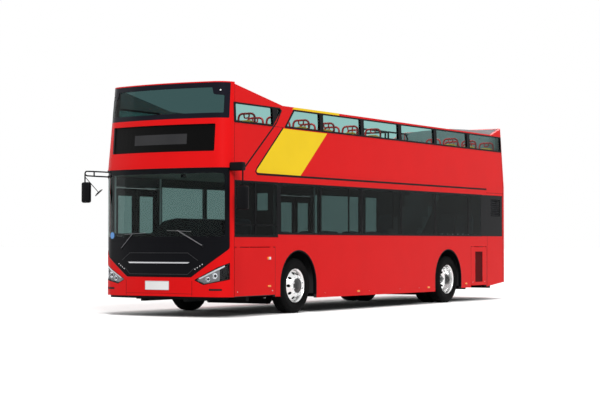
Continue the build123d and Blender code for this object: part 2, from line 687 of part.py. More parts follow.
def knuckle(side):
    """One steering knuckle at rest: yoke above and below the kingpin, spindle and steering arm."""
    y = side * KINGPIN_Y
    plate = side_box(side, FRONT_AXLE_X - 45, FRONT_AXLE_X + 45, 955, 985, STEER_ARM_Z, YOKE_TOP)
    shape = plate + bar((FRONT_AXLE_X, side * 955, AXLE_Z), (FRONT_AXLE_X, side * 985, AXLE_Z), 105, 24)
    for z0, z1 in ((YOKE_Z1 + JOINT, YOKE_TOP), (STEER_ARM_Z, YOKE_Z0 - JOINT)):
        shape += side_box(side, FRONT_AXLE_X - 45, FRONT_AXLE_X + 45, KINGPIN_Y, 965, z0, z1)
        shape += bar((FRONT_AXLE_X, y, z0), (FRONT_AXLE_X, y, z1), 46, 24)
    spindle_end = side * (FRONT_WHEEL_Y + DISC_OFFSET)
    shape += rod((FRONT_AXLE_X, side * 970, AXLE_Z), (FRONT_AXLE_X, spindle_end, AXLE_Z), SPINDLE_R)
    arm_x = FRONT_AXLE_X - STEER_ARM
    shape += box(arm_x, FRONT_AXLE_X, y - 18, y + 18, STEER_ARM_Z, STEER_ARM_Z + 25)
    return shape + rod((arm_x, y, TIE_Z - 15), (arm_x, y, STEER_ARM_Z + 25), TIE_PIN_R)


write("knuckle_left", knuckle(1))
write("knuckle_right", knuckle(-1))
tie_x = FRONT_AXLE_X - STEER_ARM
tie = bar((tie_x, 30 - KINGPIN_Y, TIE_Z), (tie_x, KINGPIN_Y - 30, TIE_Z), 16)
for y in (-KINGPIN_Y, KINGPIN_Y):
    tie += bar((tie_x, y, TIE_Z - 14), (tie_x, y, TIE_Z + 14), 34, 24)
for y in (-KINGPIN_Y, KINGPIN_Y):
    tie -= rod((tie_x, y, TIE_Z - 20), (tie_x, y, TIE_Z + 20), TIE_PIN_R + JOINT)
write("tie_rod", tie)

# Rear axle: low beam, end housings and the stubs that carry the twin wheels
REAR_WHEEL_Y = WHEEL_FACE_Y - TYRE_W / 2
DUAL_MID_Y = REAR_WHEEL_Y - DUAL_PITCH / 2
HOUSING_Y = REAR_BOX_Y + 82
axle = box(REAR_AXLE_X - 70, REAR_AXLE_X + 70, -HOUSING_Y, HOUSING_Y, BEAM_Z0, RAIL_Z0)
for side in (-1, 1):
    axle += side_box(side, REAR_AXLE_X - 110, REAR_AXLE_X + 110, REAR_BOX_Y + 30, HOUSING_Y, BEAM_Z0, AXLE_Z)
    housing = (side * (REAR_BOX_Y + 30), side * HOUSING_Y)
    stub = (side * (HOUSING_Y - 12), side * (DUAL_MID_Y + 100))
    axle += bar((REAR_AXLE_X, housing[0], AXLE_Z), (REAR_AXLE_X, housing[1], AXLE_Z), 110, 24)
    axle += rod((REAR_AXLE_X, stub[0], AXLE_Z), (REAR_AXLE_X, stub[1], AXLE_Z), STUB_R)
write("rear_axle", axle)


# Wheels

def flats_radius(radius, sides):
    """Corner radius of a ring in flats whose flats just clear a round of this radius."""
    return radius / cos(pi / sides)


def tyre():
    """One tyre about the Z axis, with bulging sidewalls and round shoulders."""
    half = TYRE_W / 2
    return turned([
        (RIM_R, half - 30), (RIM_R + 75, half), (TYRE_R - 38, half - 10), (TYRE_R, half - 48),
        (TYRE_R, 48 - half), (TYRE_R - 38, 10 - half), (RIM_R + 75, -half), (RIM_R, 30 - half),
    ], TYRE_SIDES)


def rim(bore):
    """One rim about the Z axis, its disc dished towards +Z and flush at the offset plane."""
    half = TYRE_W / 2 - 30
    edge = RIM_R * cos(pi / TYRE_SIDES) - JOINT
    inner = edge - 14
    core = flats_radius(bore, RIM_SIDES)
    shape = turned([
        (edge, -half), (edge, half), (inner, half), (inner, 75), (178, DISC_OFFSET), (core, DISC_OFFSET),
        (core, DISC_OFFSET - DISC_T), (168, DISC_OFFSET - DISC_T), (inner, 50), (inner, -half),
    ], RIM_SIDES)
    holes = []
    for k in range(10):
        angle = radians(36 * k)
        place = (224 * cos(angle), 224 * sin(angle))
        holes.append(bar((*place, 20), (*place, DISC_OFFSET), 28, 6))
    return shape.cut(*holes)


def hub(outer, bore, z0, z1):
    """One hub drum about the Z axis."""
    core = flats_radius(bore, RIM_SIDES)
    return turned([(outer, z0), (outer, z1), (core, z1), (core, z0)], RIM_SIDES)


TYRE = tyre()
WHEEL_SETS = [("front_left", 1, FRONT_AXLE_X), ("front_right", -1, FRONT_AXLE_X),
              ("rear_left", 1, REAR_AXLE_X), ("rear_right", -1, REAR_AXLE_X)]
for name, side, x in WHEEL_SETS:
    if "front" in name:
        centres = [FRONT_WHEEL_Y]
        face = DISC_OFFSET
        wheel = rim(SPINDLE_R + JOINT) + hub(110, SPINDLE_R + JOINT, face - 150, face)
        wheel += hub(112, 75, face - 1, face + 12)
        cap = bar((0, 0, face + JOINT), (0, 0, face + 28), 76, RIM_SIDES)
        wheel = across(wheel + cap, x, FRONT_WHEEL_Y, AXLE_Z)
    else:
        centres = [REAR_WHEEL_Y, REAR_WHEEL_Y - DUAL_PITCH]
        outer_rim = Rot(180, 0, 0) * rim(STUB_R + JOINT)
        wheel = across(outer_rim, x, centres[0], AXLE_Z) + across(rim(STUB_R + JOINT), x, centres[1], AXLE_Z)
        wheel += across(hub(125, STUB_R + JOINT, 0, 105), x, DUAL_MID_Y, AXLE_Z)
        wheel += across(bar((0, 0, 100 + JOINT), (0, 0, 150), 90, RIM_SIDES), x, DUAL_MID_Y, AXLE_Z)
    tyres = [across(TYRE, x, y, AXLE_Z) for y in centres]
    if side < 0:
        wheel = other_side(wheel)
        tyres = [other_side(t) for t in tyres]
    write(f"tyre_{name}", *tyres)
    write(f"rim_{name}", wheel)

# Doors on the right: two leaves each, gliding inwards on turning posts
ARM_LOW = LOW_FLOOR + 8
ARM_HIGH = DOOR_TOP + 8
REBATE = 25


def door_leaf(hinge_edge, free_edge):
    """One leaf: glazed frame and its two pivot pins."""
    x0, x1 = sorted((hinge_edge, free_edge))
    y0, y1 = LEAF_Y - DOOR_T / 2, LEAF_Y + DOOR_T / 2
    leaf = box(x0, x1, y0, y1, DOOR_LOW, DOOR_TOP)
    wx0, wx1, wz0, wz1 = x0 + 62, x1 - 62, DOOR_LOW + 170, DOOR_TOP - 110
    leaf -= box(wx0 + REBATE, wx1 - REBATE, y0 - 1, y1 + 1, wz0 + REBATE, wz1 - REBATE)
    leaf -= box(wx0, wx1, y0 - 1, y0 + GLASS, wz0, wz1)
    glass = box(wx0 + fit, wx1 - fit, y0, y0 + GLASS, wz0 + fit, wz1 - fit)
    pivot_x = (x0 + x1) / 2
    pivot_y = LEAF_Y + PIVOT_IN
    leaf += rod((pivot_x, pivot_y, ARM_LOW), (pivot_x, pivot_y, DOOR_LOW + 1), DOOR_PIN_R)
    leaf += rod((pivot_x, pivot_y, DOOR_TOP - 1), (pivot_x, pivot_y, ARM_HIGH + ARM_T), DOOR_PIN_R)
    return leaf, glass, pivot_x, pivot_y


def door_post(post_x, post_y, pivot_x, pivot_y):
    """Turning post with its lower and upper arm, each with a bore for the leaf's pin."""
    post = rod((post_x, post_y, LOW_FLOOR + JOINT), (post_x, post_y, DECK - DECK_T - JOINT), POST_R)
    run = Vector(pivot_x - post_x, pivot_y - post_y, 0)
    middle = Vector((post_x + pivot_x) / 2, (post_y + pivot_y) / 2, 0)
    bore = (DOOR_PIN_R + JOINT) / cos(pi / BAR_SIDES)
    for z in (ARM_LOW, ARM_HIGH):
        along = Plane(origin=(middle.X, middle.Y, z + ARM_T / 2), x_dir=run, z_dir=(0, 0, 1))
        arm = along * Box(run.length, ARM_W, ARM_T)
        post += arm + bar((pivot_x, pivot_y, z), (pivot_x, pivot_y, z + ARM_T), BOSS_R)
        post -= bar((pivot_x, pivot_y, z - 1), (pivot_x, pivot_y, z + ARM_T + 1), bore)
    return post


for name, rear_x, front_x in DOORS:
    middle = (rear_x + front_x) / 2
    for end, jamb, way in (("front", front_x, -1), ("rear", rear_x, 1)):
        hinge_edge = jamb + way * JAMB_GAP
        leaf, glass, pivot_x, pivot_y = door_leaf(hinge_edge, middle - way * MEET_GAP / 2)
        write(f"door_{name}_{end}_leaf", leaf, glass)
        post = door_post(hinge_edge - way * POST_BACK, LEAF_Y + POST_IN, pivot_x, pivot_y)
        write(f"door_{name}_{end}_post", post)

# Mirrors on bent arms, (side, low z of the head, top z of the head)
MIRROR_OUT, MIRROR_AHEAD, MIRROR_W, MIRROR_T = 360, 260, 220, 100
MIRROR_ARM_R, MIRROR_ARM_DROP, MIRROR_CHAMFER = 16, 30, 24
arm_z = WAIST - MIRROR_ARM_DROP
foot_x = SEAM + MIRROR_AHEAD
mirrors = []
for side, z0, z1 in ((1, 1720, 2150), (-1, 1910, 2310)):
    foot_y = side * (HALF + MIRROR_OUT - MIRROR_W / 2)
    arm = bent_bar([
        (SEAM + 60, side * (HALF - 8), arm_z), (foot_x - 20, foot_y - side * 50, arm_z),
        (foot_x, foot_y, arm_z - 50), (foot_x, foot_y, z1 - 5),
    ], MIRROR_ARM_R)
    x0, x1 = foot_x - MIRROR_T / 2, foot_x + MIRROR_T / 2
    head = side_box(side, x0, x1, HALF + MIRROR_OUT - MIRROR_W, HALF + MIRROR_OUT, z0, z1)
    head = chamfer(head.edges().filter_by(Axis.Z), MIRROR_CHAMFER)
    mirrors.append((arm - lower_form(-JOINT, 200, WAIST)) + head)
write("mirrors", *mirrors)

# Cab
DASH_TOP = 1380
dash_plan = [
    (SEAM - 150, 1150), (SEAM - 150, -380), (SEAM + 110, -470),
    (SEAM + 110, -1150), (FRONT, -1150), (FRONT, 1150),
]
WHEEL_X, WHEEL_Y, WHEEL_Z, WHEEL_TILT, WHEEL_R = SEAM - 420, 600, 1250, 60, 225
GRIP_R = 15
tilt = radians(WHEEL_TILT)
column = Plane(origin=(WHEEL_X, WHEEL_Y, WHEEL_Z), z_dir=(-cos(tilt), 0, sin(tilt)))
dash = inner_low & prism_xy(dash_plan, LOW_FLOOR, DASH_TOP)
dash += bar((SEAM - 300, WHEEL_Y, LOW_FLOOR), (SEAM - 300, WHEEL_Y, 700), 40)
dash += column * Pos(0, 0, -20 - JOINT - 250) * Cylinder(38, 500)
write("dashboard", dash & inner_low & box(REAR, FRONT, -HALF, HALF, LOW_FLOOR, DECK))
grip = turned([(WHEEL_R + GRIP_R * cos(pi * k / 3), GRIP_R * sin(pi * k / 3)) for k in range(6)], 24)
wheel = column * grip
for k in range(3):
    wheel += column * Rot(0, 0, 120 * k) * Pos(WHEEL_R / 2, 0, 0) * Box(WHEEL_R, 30, 12)
wheel += column * Cylinder(50, 40)
write("steering_wheel", wheel)

# Seats of the open deck, in pairs on one frame
ROW_PITCH = 870
FRONT_ROW_X = SEAM - 803
REAR_ROW_X = REAR + 337
SEAT_YS = (560, 965)
SEAT_W = 380
SEAT_DEPTH = 430
SEAT_Z = DECK + 430
BACK_TOP = DECK + 870
ARCH_TOP = DECK + 1000
TUBE = 26
HOOP_HALF = 178
# Right half of a hoop, (half width, drop below its top), outside and inside
HOOP_OUT = [(90, 0), (152, 27), (HOOP_HALF, 90)]
HOOP_IN = [(84, TUBE), (136, 46), (HOOP_HALF - TUBE, 96)]
left_rows = [FRONT_ROW_X - ROW_PITCH * k for k in range(6)] + [REAR_ROW_X + ROW_PITCH * k for k in (2, 1, 0)]
RIGHT_ROWS = 12
right_pitch = (FRONT_ROW_X - REAR_ROW_X) / (RIGHT_ROWS - 1)
right_rows = [FRONT_ROW_X - right_pitch * k for k in range(RIGHT_ROWS)]


def hoop_outline(y, half, foot):
    """Closed outline of a hoop about y, from its right half down to its foot."""
    right = [(y + v, ARCH_TOP - drop) for v, drop in half]
    left = [(y - v, ARCH_TOP - drop) for v, drop in reversed(half)]
    return [(y - half[-1][0], foot)] + left + right + [(y + half[-1][0], foot)]


def seat_pair(back_x, side):
    """Frame and two moulded shells of one pair of seats, placed by the front of its hoops."""
    x = back_x + SEAT_DEPTH / 2
    frame = side_box(side, x - 40, x + 40, SEAT_YS[0] - 120, SEAT_YS[1] + 120, SEAT_Z - 50, SEAT_Z - 15)
    post_y = sum(SEAT_YS) / 2
    frame += side_box(side, x - 30, x + 30, post_y - 30, post_y + 30, DECK, SEAT_Z - 50)
    frame += side_box(side, x - 150, x + 150, post_y - 60, post_y + 60, DECK, DECK + 12)
    shells = []
    for y in SEAT_YS:
        frame += side_box(side, back_x, x + 160, y - 150, y + 150, SEAT_Z - 15, SEAT_Z)
        outer = hoop_outline(y, HOOP_OUT, SEAT_Z - 15)
        inner = hoop_outline(y, HOOP_IN, SEAT_Z)
        hoop = prism_yz([(side * v, z) for v, z in outer], back_x - TUBE, back_x)
        frame += hoop - prism_yz([(side * v, z) for v, z in inner], back_x - TUBE - 1, back_x + 1)
        shell_profile = [
            (back_x + JOINT, SEAT_Z), (x + 205, SEAT_Z), (x + 215, SEAT_Z + 20), (x + 195, SEAT_Z + 48),
            (x - 120, SEAT_Z + 32), (x - 160, SEAT_Z + 60), (back_x + 34, BACK_TOP - 14),
            (back_x + 22, BACK_TOP),
            (back_x + JOINT, BACK_TOP),
        ]
        low, high = sorted((side * (y - SEAT_W / 2), side * (y + SEAT_W / 2)))
        shells.append(prism_xz(shell_profile, low, high))
    return frame, shells


seat_frames, seat_shells = [], []
for side, rows in ((1, left_rows), (-1, right_rows)):
    for x in rows:
        frame, shells = seat_pair(x, side)
        seat_frames.append(frame)
        seat_shells += shells
write("upper_seat_frames", *seat_frames)
write("upper_seat_shells", *seat_shells)

# Seats of the lower deck, (x, sides, floor), and the driver's seat
BENCH_Y0, BENCH_Y1 = 330, 1150
LOWER_ROWS = [
    (FRONT_AXLE_X - 1170, (1, -1), LOW_FLOOR), (FRONT_AXLE_X - 2040, (1, -1), LOW_FLOOR),
    (FRONT_AXLE_X - 2910, (1,), LOW_FLOOR), (COMPARTMENT_X + 400, (1, -1), REAR_PLATFORM),
]


def bench(x, side, floor, y0, y1):
    """One seat or bench on a pedestal."""
    low, high = sorted((side * y0, side * y1))
    profile = [(x - 280, floor + 400), (x + 220, floor + 400), (x + 230, floor + 440), (x + 200, floor + 470),
               (x - 170, floor + 450), (x - 260, floor + 1080), (x - 320, floor + 1080)]
    post_y = side * (y0 + y1) / 2
    return prism_xz(profile, low, high) + box(x - 50, x + 50, post_y - 60, post_y + 60, floor, floor + 401)


seats = []
for x, sides, floor in LOWER_ROWS:
    seats += [bench(x, side, floor, BENCH_Y0, BENCH_Y1) for side in sides]
PODIUM_H = 200
podium = box(SEAM - 1080, SEAM - 680, 420, 780, LOW_FLOOR, LOW_FLOOR + PODIUM_H + 1)
seats.append(bench(SEAM - 880, 1, LOW_FLOOR + PODIUM_H, 350, 850) + podium)
write("lower_seats", *seats)
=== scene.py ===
from math import asin, atan2, copysign, cos, hypot, pi, radians, sin, sqrt

import bmesh
import bpy
from mathutils import Matrix, Vector


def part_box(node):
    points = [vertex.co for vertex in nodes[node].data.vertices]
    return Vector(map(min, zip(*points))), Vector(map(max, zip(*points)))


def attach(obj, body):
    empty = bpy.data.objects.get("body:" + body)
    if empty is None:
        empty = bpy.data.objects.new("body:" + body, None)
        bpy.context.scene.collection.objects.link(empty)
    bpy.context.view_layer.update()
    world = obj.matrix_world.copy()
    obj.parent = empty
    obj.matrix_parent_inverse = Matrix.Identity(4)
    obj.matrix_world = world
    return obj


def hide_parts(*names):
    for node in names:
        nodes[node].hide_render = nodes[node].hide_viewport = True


# Open-top double-deck electric city bus. Metres, +X forward, +Y to the bus's left, +Z up.

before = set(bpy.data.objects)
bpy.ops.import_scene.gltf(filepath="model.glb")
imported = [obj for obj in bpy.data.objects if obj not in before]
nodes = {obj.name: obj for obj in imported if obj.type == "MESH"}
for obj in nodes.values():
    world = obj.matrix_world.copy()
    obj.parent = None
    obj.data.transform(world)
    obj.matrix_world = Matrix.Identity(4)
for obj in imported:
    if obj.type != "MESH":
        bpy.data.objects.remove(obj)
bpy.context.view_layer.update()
scene = bpy.context.scene
scene.view_settings.view_transform = "Standard"

# Body form: sizes from the frame, and the radii and leans of its plan
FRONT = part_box("front_cowl")[1].x
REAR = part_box("rear_wall")[0].x
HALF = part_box("front_cowl")[1].y
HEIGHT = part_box("front_upper_panel")[1].z
WAIST = 2.45
NOSE_R, CORNER_R = 4.45, 0.285
LEAN, TUMBLE = 0.12, 0.065
WALL = 0.06
DECK = 2.42
SINK, SINK_HALF = 0.006, 0.9
FRONT_AXLE_X = sum(v.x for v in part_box("tyre_front_left")) / 2
REAR_AXLE_X = sum(v.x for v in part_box("tyre_rear_left")) / 2

# Camera of the photograph
CAMERA_AT = Vector((26.612, 15.973, 1.208))
CAMERA_YAW = radians(31.952)
CAMERA_PITCH = radians(1.566)
CAMERA_LENS = 95.72
SENSOR = 36.0
SIGHT = 400.0


# Places on the body: each takes a distance along the side, a height and a distance outwards

def rise(z):
    """Share of the upper deck's lean at this height."""
    return max(0.0, (z - WAIST) / (HEIGHT - WAIST))


def nose_plan(z):
    """Nose centre x, corner centre x and y, and the angle where nose and corner meet, at one height."""
    centre_x = FRONT - LEAN * rise(z) - NOSE_R
    corner_y = HALF - TUMBLE * rise(z) - CORNER_R
    corner_x = centre_x + sqrt((NOSE_R - CORNER_R) ** 2 - corner_y ** 2)
    return centre_x, corner_x, corner_y, atan2(corner_y, corner_x - centre_x)


def nose_end(z):
    """Length along the nose from its middle to where the straight side starts."""
    turn = nose_plan(z)[3]
    return NOSE_R * turn + CORNER_R * (pi / 2 - turn)


def along(y, z=WAIST):
    """Length along the nose from its middle to the point that is y off the middle."""
    corner_y, turn = nose_plan(z)[2:]
    if abs(y) <= NOSE_R * sin(turn):
        return NOSE_R * asin(y / NOSE_R)
    bend = asin(min(1.0, (abs(y) - corner_y) / CORNER_R)) - turn
    return copysign(NOSE_R * turn + CORNER_R * bend, y)


def on_nose(s, z, out=0.0):
    """Point of the front at length s from its middle."""
    centre_x, corner_x, corner_y, turn = nose_plan(z)
    tip, run = NOSE_R * turn, abs(s)
    if run <= tip:
        angle = run / NOSE_R
        x, y = centre_x + (NOSE_R + out) * cos(angle), (NOSE_R + out) * sin(angle)
    elif run <= nose_end(z):
        angle = turn + (run - tip) / CORNER_R
        x, y = corner_x + (CORNER_R + out) * cos(angle), corner_y + (CORNER_R + out) * sin(angle)
    else:
        x, y = corner_x - (run - nose_end(z)), corner_y + CORNER_R + out
    return Vector((x, copysign(y, s), z))


def on_cowl(s, z, out=0.0):
    """As on_nose, but set back a little in the middle, so that what is fixed on it stays behind the nose."""
    return on_nose(s, z, out - SINK * max(0.0, 1.0 - abs(s) / SINK_HALF))


def on_mask(s, z, out=0.0):
    """As on_nose, set back to the depth of the glazing and the black panel."""
    return on_nose(s, z, out - SINK)


def on_left(x, z, out=0.0):
    """Point of the left side."""
    return Vector((x, HALF - TUMBLE * rise(z) + out, z))


def on_right(x, z, out=0.0):
    """Point of the right side."""
    return Vector((x, TUMBLE * rise(z) - HALF - out, z))


def on_rear(y, z, out=0.0):
    """Point of the rear."""
    return Vector((REAR - out, y, z))


SIDES = ((1, "left", on_left), (-1, "right", on_right))


# Materials

def new_material(name, base, rough, **extra):
    """Principled material; returns it with its node tree and shader."""
    material = bpy.data.materials.new(name)
    material.use_nodes = True
    tree = material.node_tree
    shader = tree.nodes["Principled BSDF"]
    shader.inputs["Base Color"].default_value = (*base, 1.0)
    shader.inputs["Roughness"].default_value = rough
    for key, value in extra.items():
        shader.inputs[key.replace("_", " ")].default_value = value
    return material, tree, shader


def add_noise(tree, scale, detail=3.0):
    """Noise in object coordinates."""
    place = tree.nodes.new("ShaderNodeTexCoord")
    noise = tree.nodes.new("ShaderNodeTexNoise")
    noise.inputs["Scale"].default_value = scale
    noise.inputs["Detail"].default_value = detail
    tree.links.new(place.outputs["Object"], noise.inputs["Vector"])
    return noise


def add_bump(tree, shader, noise, strength, distance):
    """Fine relief from a noise."""
    bump = tree.nodes.new("ShaderNodeBump")
    bump.inputs["Strength"].default_value = strength
    bump.inputs["Distance"].default_value = distance
    tree.links.new(noise.outputs["Fac"], bump.inputs["Height"])
    tree.links.new(bump.outputs["Normal"], shader.inputs["Normal"])


def vary(tree, noise, target, low, high):
    """Lets a noise move one socket between two colours or values."""
    ramp = tree.nodes.new("ShaderNodeValToRGB")
    for element, spot, value in zip(ramp.color_ramp.elements, (0.32, 0.68), (low, high)):
        element.position = spot
        element.color = (*value, 1.0) if isinstance(value, tuple) else (value, value, value, 1.0)
    tree.links.new(noise.outputs["Fac"], ramp.inputs["Fac"])
    tree.links.new(ramp.outputs["Color"], target)


def surface(name, base, rough, scale, strength, distance, spread=0.05, **extra):
    """Material with a fine relief, patchy gloss and slight changes of colour."""
    material, tree, shader = new_material(name, base, rough, **extra)
    fine = add_noise(tree, scale)
    add_bump(tree, shader, fine, strength, distance)
    vary(tree, fine, shader.inputs["Roughness"], max(0.02, rough - 0.03), rough + 0.04)
    broad = add_noise(tree, 1.7, 2.0)
    darker, lighter = (tuple(c * share for c in base) for share in (1 - spread, 1 + spread))
    vary(tree, broad, shader.inputs["Base Color"], darker, lighter)
    return material


def glass(name, tint, ior=1.1, wave=0.04):
    """Tinted safety glass with a faint waviness."""
    material, tree, shader = new_material(name, tint, 0.015, Transmission_Weight=1.0, IOR=ior)
    add_bump(tree, shader, add_noise(tree, 2.5, 1.0), wave, 0.0006)
    return material


# The white surroundings show in every gloss, so the paints and blacks reflect less than real ones
PAINT, DULL = 1.14, 1.13
paint_red = surface("paint_red", (0.70, 0.0075, 0.0085), 0.32, 900, 0.04, 0.0002, 0.02, IOR=PAINT)
paint_yellow = surface("paint_yellow", (0.875, 0.60, 0.018), 0.34, 900, 0.04, 0.0002, 0.02, IOR=PAINT)
gloss_black = surface("gloss_black", (0.0035, 0.0038, 0.005), 0.14, 700, 0.04, 0.0002, 0.1, IOR=DULL)
mask_black = surface("mask_black", (0.0045, 0.0048, 0.0065), 0.16, 700, 0.03, 0.0002, 0.1, IOR=DULL)
mask_blue = surface("mask_blue", (0.0085, 0.0085, 0.014), 0.2, 700, 0.04, 0.0002, 0.1, IOR=DULL)
satin_black = surface("satin_black", (0.005, 0.005, 0.006), 0.42, 500, 0.15, 0.0004, 0.15, IOR=DULL)
sign_black = surface("sign_black", (0.0015, 0.0015, 0.0015), 0.5, 500, 0.1, 0.0003, 0.1, IOR=DULL)
tyre_rubber = surface("tyre_rubber", (0.004, 0.004, 0.0042), 0.7, 260, 0.4, 0.0008, 0.25, IOR=DULL)
seal = surface("seal", (0.006, 0.006, 0.007), 0.55, 400, 0.2, 0.0004, 0.1, IOR=DULL)
edge_grey = surface("edge_grey", (0.05, 0.051, 0.055), 0.35, 400, 0.1, 0.0003, 0.1, IOR=DULL)
wiper_grey = surface("wiper_grey", (0.10, 0.10, 0.11), 0.3, 400, 0.1, 0.0003, 0.1, Specular_IOR_Level=0.4)
chassis_black = surface("chassis_black", (0.012, 0.012, 0.013), 0.55, 180, 0.3, 0.0008, 0.2, IOR=DULL)
alloy = surface("alloy", (0.80, 0.80, 0.80), 0.22, 260, 0.08, 0.0003, 0.03, Metallic=1.0)
steel = surface("steel", (0.50, 0.50, 0.52), 0.32, 400, 0.1, 0.0003, 0.05, Metallic=1.0)
chrome = surface("chrome", (0.80, 0.81, 0.82), 0.10, 300, 0.04, 0.0002, 0.02, Metallic=1.0)
hub_dark = surface("hub_dark", (0.012, 0.012, 0.013), 0.35, 200, 0.2, 0.0005, 0.2)
floor_vinyl = surface("floor_vinyl", (0.10, 0.105, 0.11), 0.6, 420, 0.5, 0.0008, 0.15)
ceiling_khaki = surface("ceiling_khaki", (0.16, 0.155, 0.13), 0.6, 300, 0.2, 0.0005, 0.06)
lining_grey = surface("lining_grey", (0.38, 0.38, 0.40), 0.5, 300, 0.15, 0.0004, 0.04)
lining_dark = surface("lining_dark", (0.022, 0.022, 0.024), 0.6, 300, 0.3, 0.0006, 0.1)
cab_dark = surface("cab_dark", (0.010, 0.0105, 0.012), 0.5, 600, 0.4, 0.0006, 0.1, IOR=DULL)
fabric = surface("fabric", (0.035, 0.045, 0.065), 0.85, 900, 0.7, 0.0012, 0.2, Sheen_Weight=0.3)
frame_red = surface("frame_red", (0.92, 0.022, 0.03), 0.3, 500, 0.08, 0.0003, 0.05, Specular_IOR_Level=0.35)
shell_yellow = surface("shell_yellow", (0.92, 0.42, 0.035), 0.42, 700, 0.2, 0.0004, 0.05,
                       Specular_IOR_Level=0.3)
pack_grey = surface("pack_grey", (0.12, 0.125, 0.13), 0.45, 200, 0.2, 0.0006, 0.1)
plate_white = surface("plate_white", (0.82, 0.82, 0.82), 0.35, 500, 0.08, 0.0003, 0.02)
# Darker copy of the red paint: painted shade for the recessed faces of the hatch louvre
louvre_red_painted_shade = surface("louvre_red_painted_shade", (0.10, 0.004, 0.005), 0.4, 400, 0.1, 0.0003, 0.1, IOR=DULL)
sticker_blue = surface("sticker_blue", (0.06, 0.25, 0.62), 0.35, 500, 0.08, 0.0003, 0.02)
amber = surface("amber", (0.85, 0.25, 0.01), 0.2, 300, 0.2, 0.0005, 0.05, Coat_Weight=0.3)
lamp_red = surface("lamp_red", (0.45, 0.006, 0.006), 0.15, 300, 0.25, 0.0006, 0.05, Coat_Weight=0.5)
reflector = surface("reflector", (0.20, 0.205, 0.21), 0.3, 300, 0.1, 0.0003, 0.1)
lamp_white = surface("lamp_white", (0.75, 0.76, 0.78), 0.15, 300, 0.2, 0.0005, 0.03, Coat_Weight=0.5)
display_grey = surface("display_grey", (0.036, 0.036, 0.038), 0.4, 300, 0.3, 0.0006, 0.1, IOR=DULL)
glass_band = glass("glass_band", (0.20, 0.275, 0.268))
glass_screen = glass("glass_screen", (0.42, 0.55, 0.53), 1.17, 0.004)
glass_side = glass("glass_side", (0.28, 0.53, 0.50))
glass_deck = glass("glass_deck", (0.042, 0.090, 0.090), 1.12)
lens_clear = glass("lens_clear", (0.92, 0.93, 0.95), 1.2)


# Mesh helpers

def from_bmesh(name, bm, material, body="body", smooth=None):
    """Turns a bmesh into a piece of the bus; smooth is the angle at which an edge stays sharp."""
    bmesh.ops.recalc_face_normals(bm, faces=bm.faces)
    mesh = bpy.data.meshes.new(name)
    bm.to_mesh(mesh)
    bm.free()
    obj = bpy.data.objects.new(name, mesh)
    scene.collection.objects.link(obj)
    mesh.materials.append(material)
    if smooth is not None:
        for polygon in mesh.polygons:
            polygon.use_smooth = True
        mesh.set_sharp_from_angle(angle=radians(smooth))
    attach(obj, body)
    return obj


def rectangle(u0, u1, v0, v1):
    """Outline of a rectangle."""
    return [(u0, v0), (u1, v0), (u1, v1), (u0, v1)]


def circle(u, v, radius, sides=24):
    """Outline of a circle."""
    return [(u + radius * cos(2 * pi * k / sides), v + radius * sin(2 * pi * k / sides))
            for k in range(sides)]


def rounded(points, radius, steps=5):
    """Outline with its corners rounded; the radius is one value, or one for each corner."""
    result = []
    count = len(points)
    for i in range(count):
        r = radius[i] if isinstance(radius, (list, tuple)) else radius
        here = Vector(points[i])
        back, ahead = Vector(points[i - 1]) - here, Vector(points[(i + 1) % count]) - here
        if r <= 0:
            result.append(tuple(here))
            continue
        half = back.angle(ahead) / 2
        reach = min(r * cos(half) / sin(half), back.length / 2, ahead.length / 2)
        start, end = here + back.normalized() * reach, here + ahead.normalized() * reach
        for k in range(steps + 1):
            t = k / steps
            result.append(tuple(start * (1 - t) ** 2 + here * 2 * t * (1 - t) + end * t * t))
    return result


def inset(points, gap):
    """Anticlockwise outline moved inwards by gap."""
    result = []
    count = len(points)
    for i in range(count):
        before, here, after = Vector(points[i - 1]), Vector(points[i]), Vector(points[(i + 1) % count])
        u, v = (here - before).normalized(), (after - here).normalized()
        normal_u, normal_v = Vector((-u.y, u.x)), Vector((-v.y, v.x))
        result.append(tuple(here + (normal_u + normal_v) * (gap / (1 + normal_u.dot(normal_v)))))
    return result


def stripe(points, width):
    """Outline of a narrow band along a line."""
    left, right = [], []
    for i, point in enumerate(points):
        run = (Vector(points[min(len(points) - 1, i + 1)]) - Vector(points[max(0, i - 1)])).normalized()
        side = Vector((-run.y, run.x)) * width / 2
        left.append(tuple(Vector(point) + side))
        right.append(tuple(Vector(point) - side))
    return right + left[::-1]


def add_patch(bm, outlines, where, out0, out1, step=0.0):
    """Adds a sheet that follows a side: the first outline is its edge, and the others are holes."""
    flat = bmesh.new()
    edges = []
    for outline in outlines:
        ring = [flat.verts.new((u, v, 0.0)) for u, v in outline]
        edges += [flat.edges.new((ring[i - 1], ring[i])) for i in range(len(ring))]
    bmesh.ops.triangle_fill(flat, edges=edges, use_beauty=True)
    if step:
        us = [point[0] for point in outlines[0]]
        cuts = int((max(us) - min(us)) / step)
        for k in range(1, cuts + 1):
            everything = flat.verts[:] + flat.edges[:] + flat.faces[:]
            at = min(us) + (max(us) - min(us)) * k / (cuts + 1)
            bmesh.ops.bisect_plane(flat, geom=everything, plane_co=(at, 0, 0), plane_no=(1, 0, 0))
    everything = flat.verts[:] + flat.edges[:] + flat.faces[:]
    bmesh.ops.bisect_plane(flat, geom=everything, plane_co=(0, WAIST, 0), plane_no=(0, 1, 0))
    top = {v: bm.verts.new(where(v.co.x, v.co.y, out1)) for v in flat.verts}
    low = {v: bm.verts.new(where(v.co.x, v.co.y, out0)) for v in flat.verts}
    for face in flat.faces:
        bm.faces.new([top[v] for v in face.verts])
        bm.faces.new([low[v] for v in reversed(face.verts)])
    for edge in flat.edges:
        if len(edge.link_faces) == 1:
            a, b = edge.verts
            bm.faces.new([top[a], top[b], low[b], low[a]])
    flat.free()


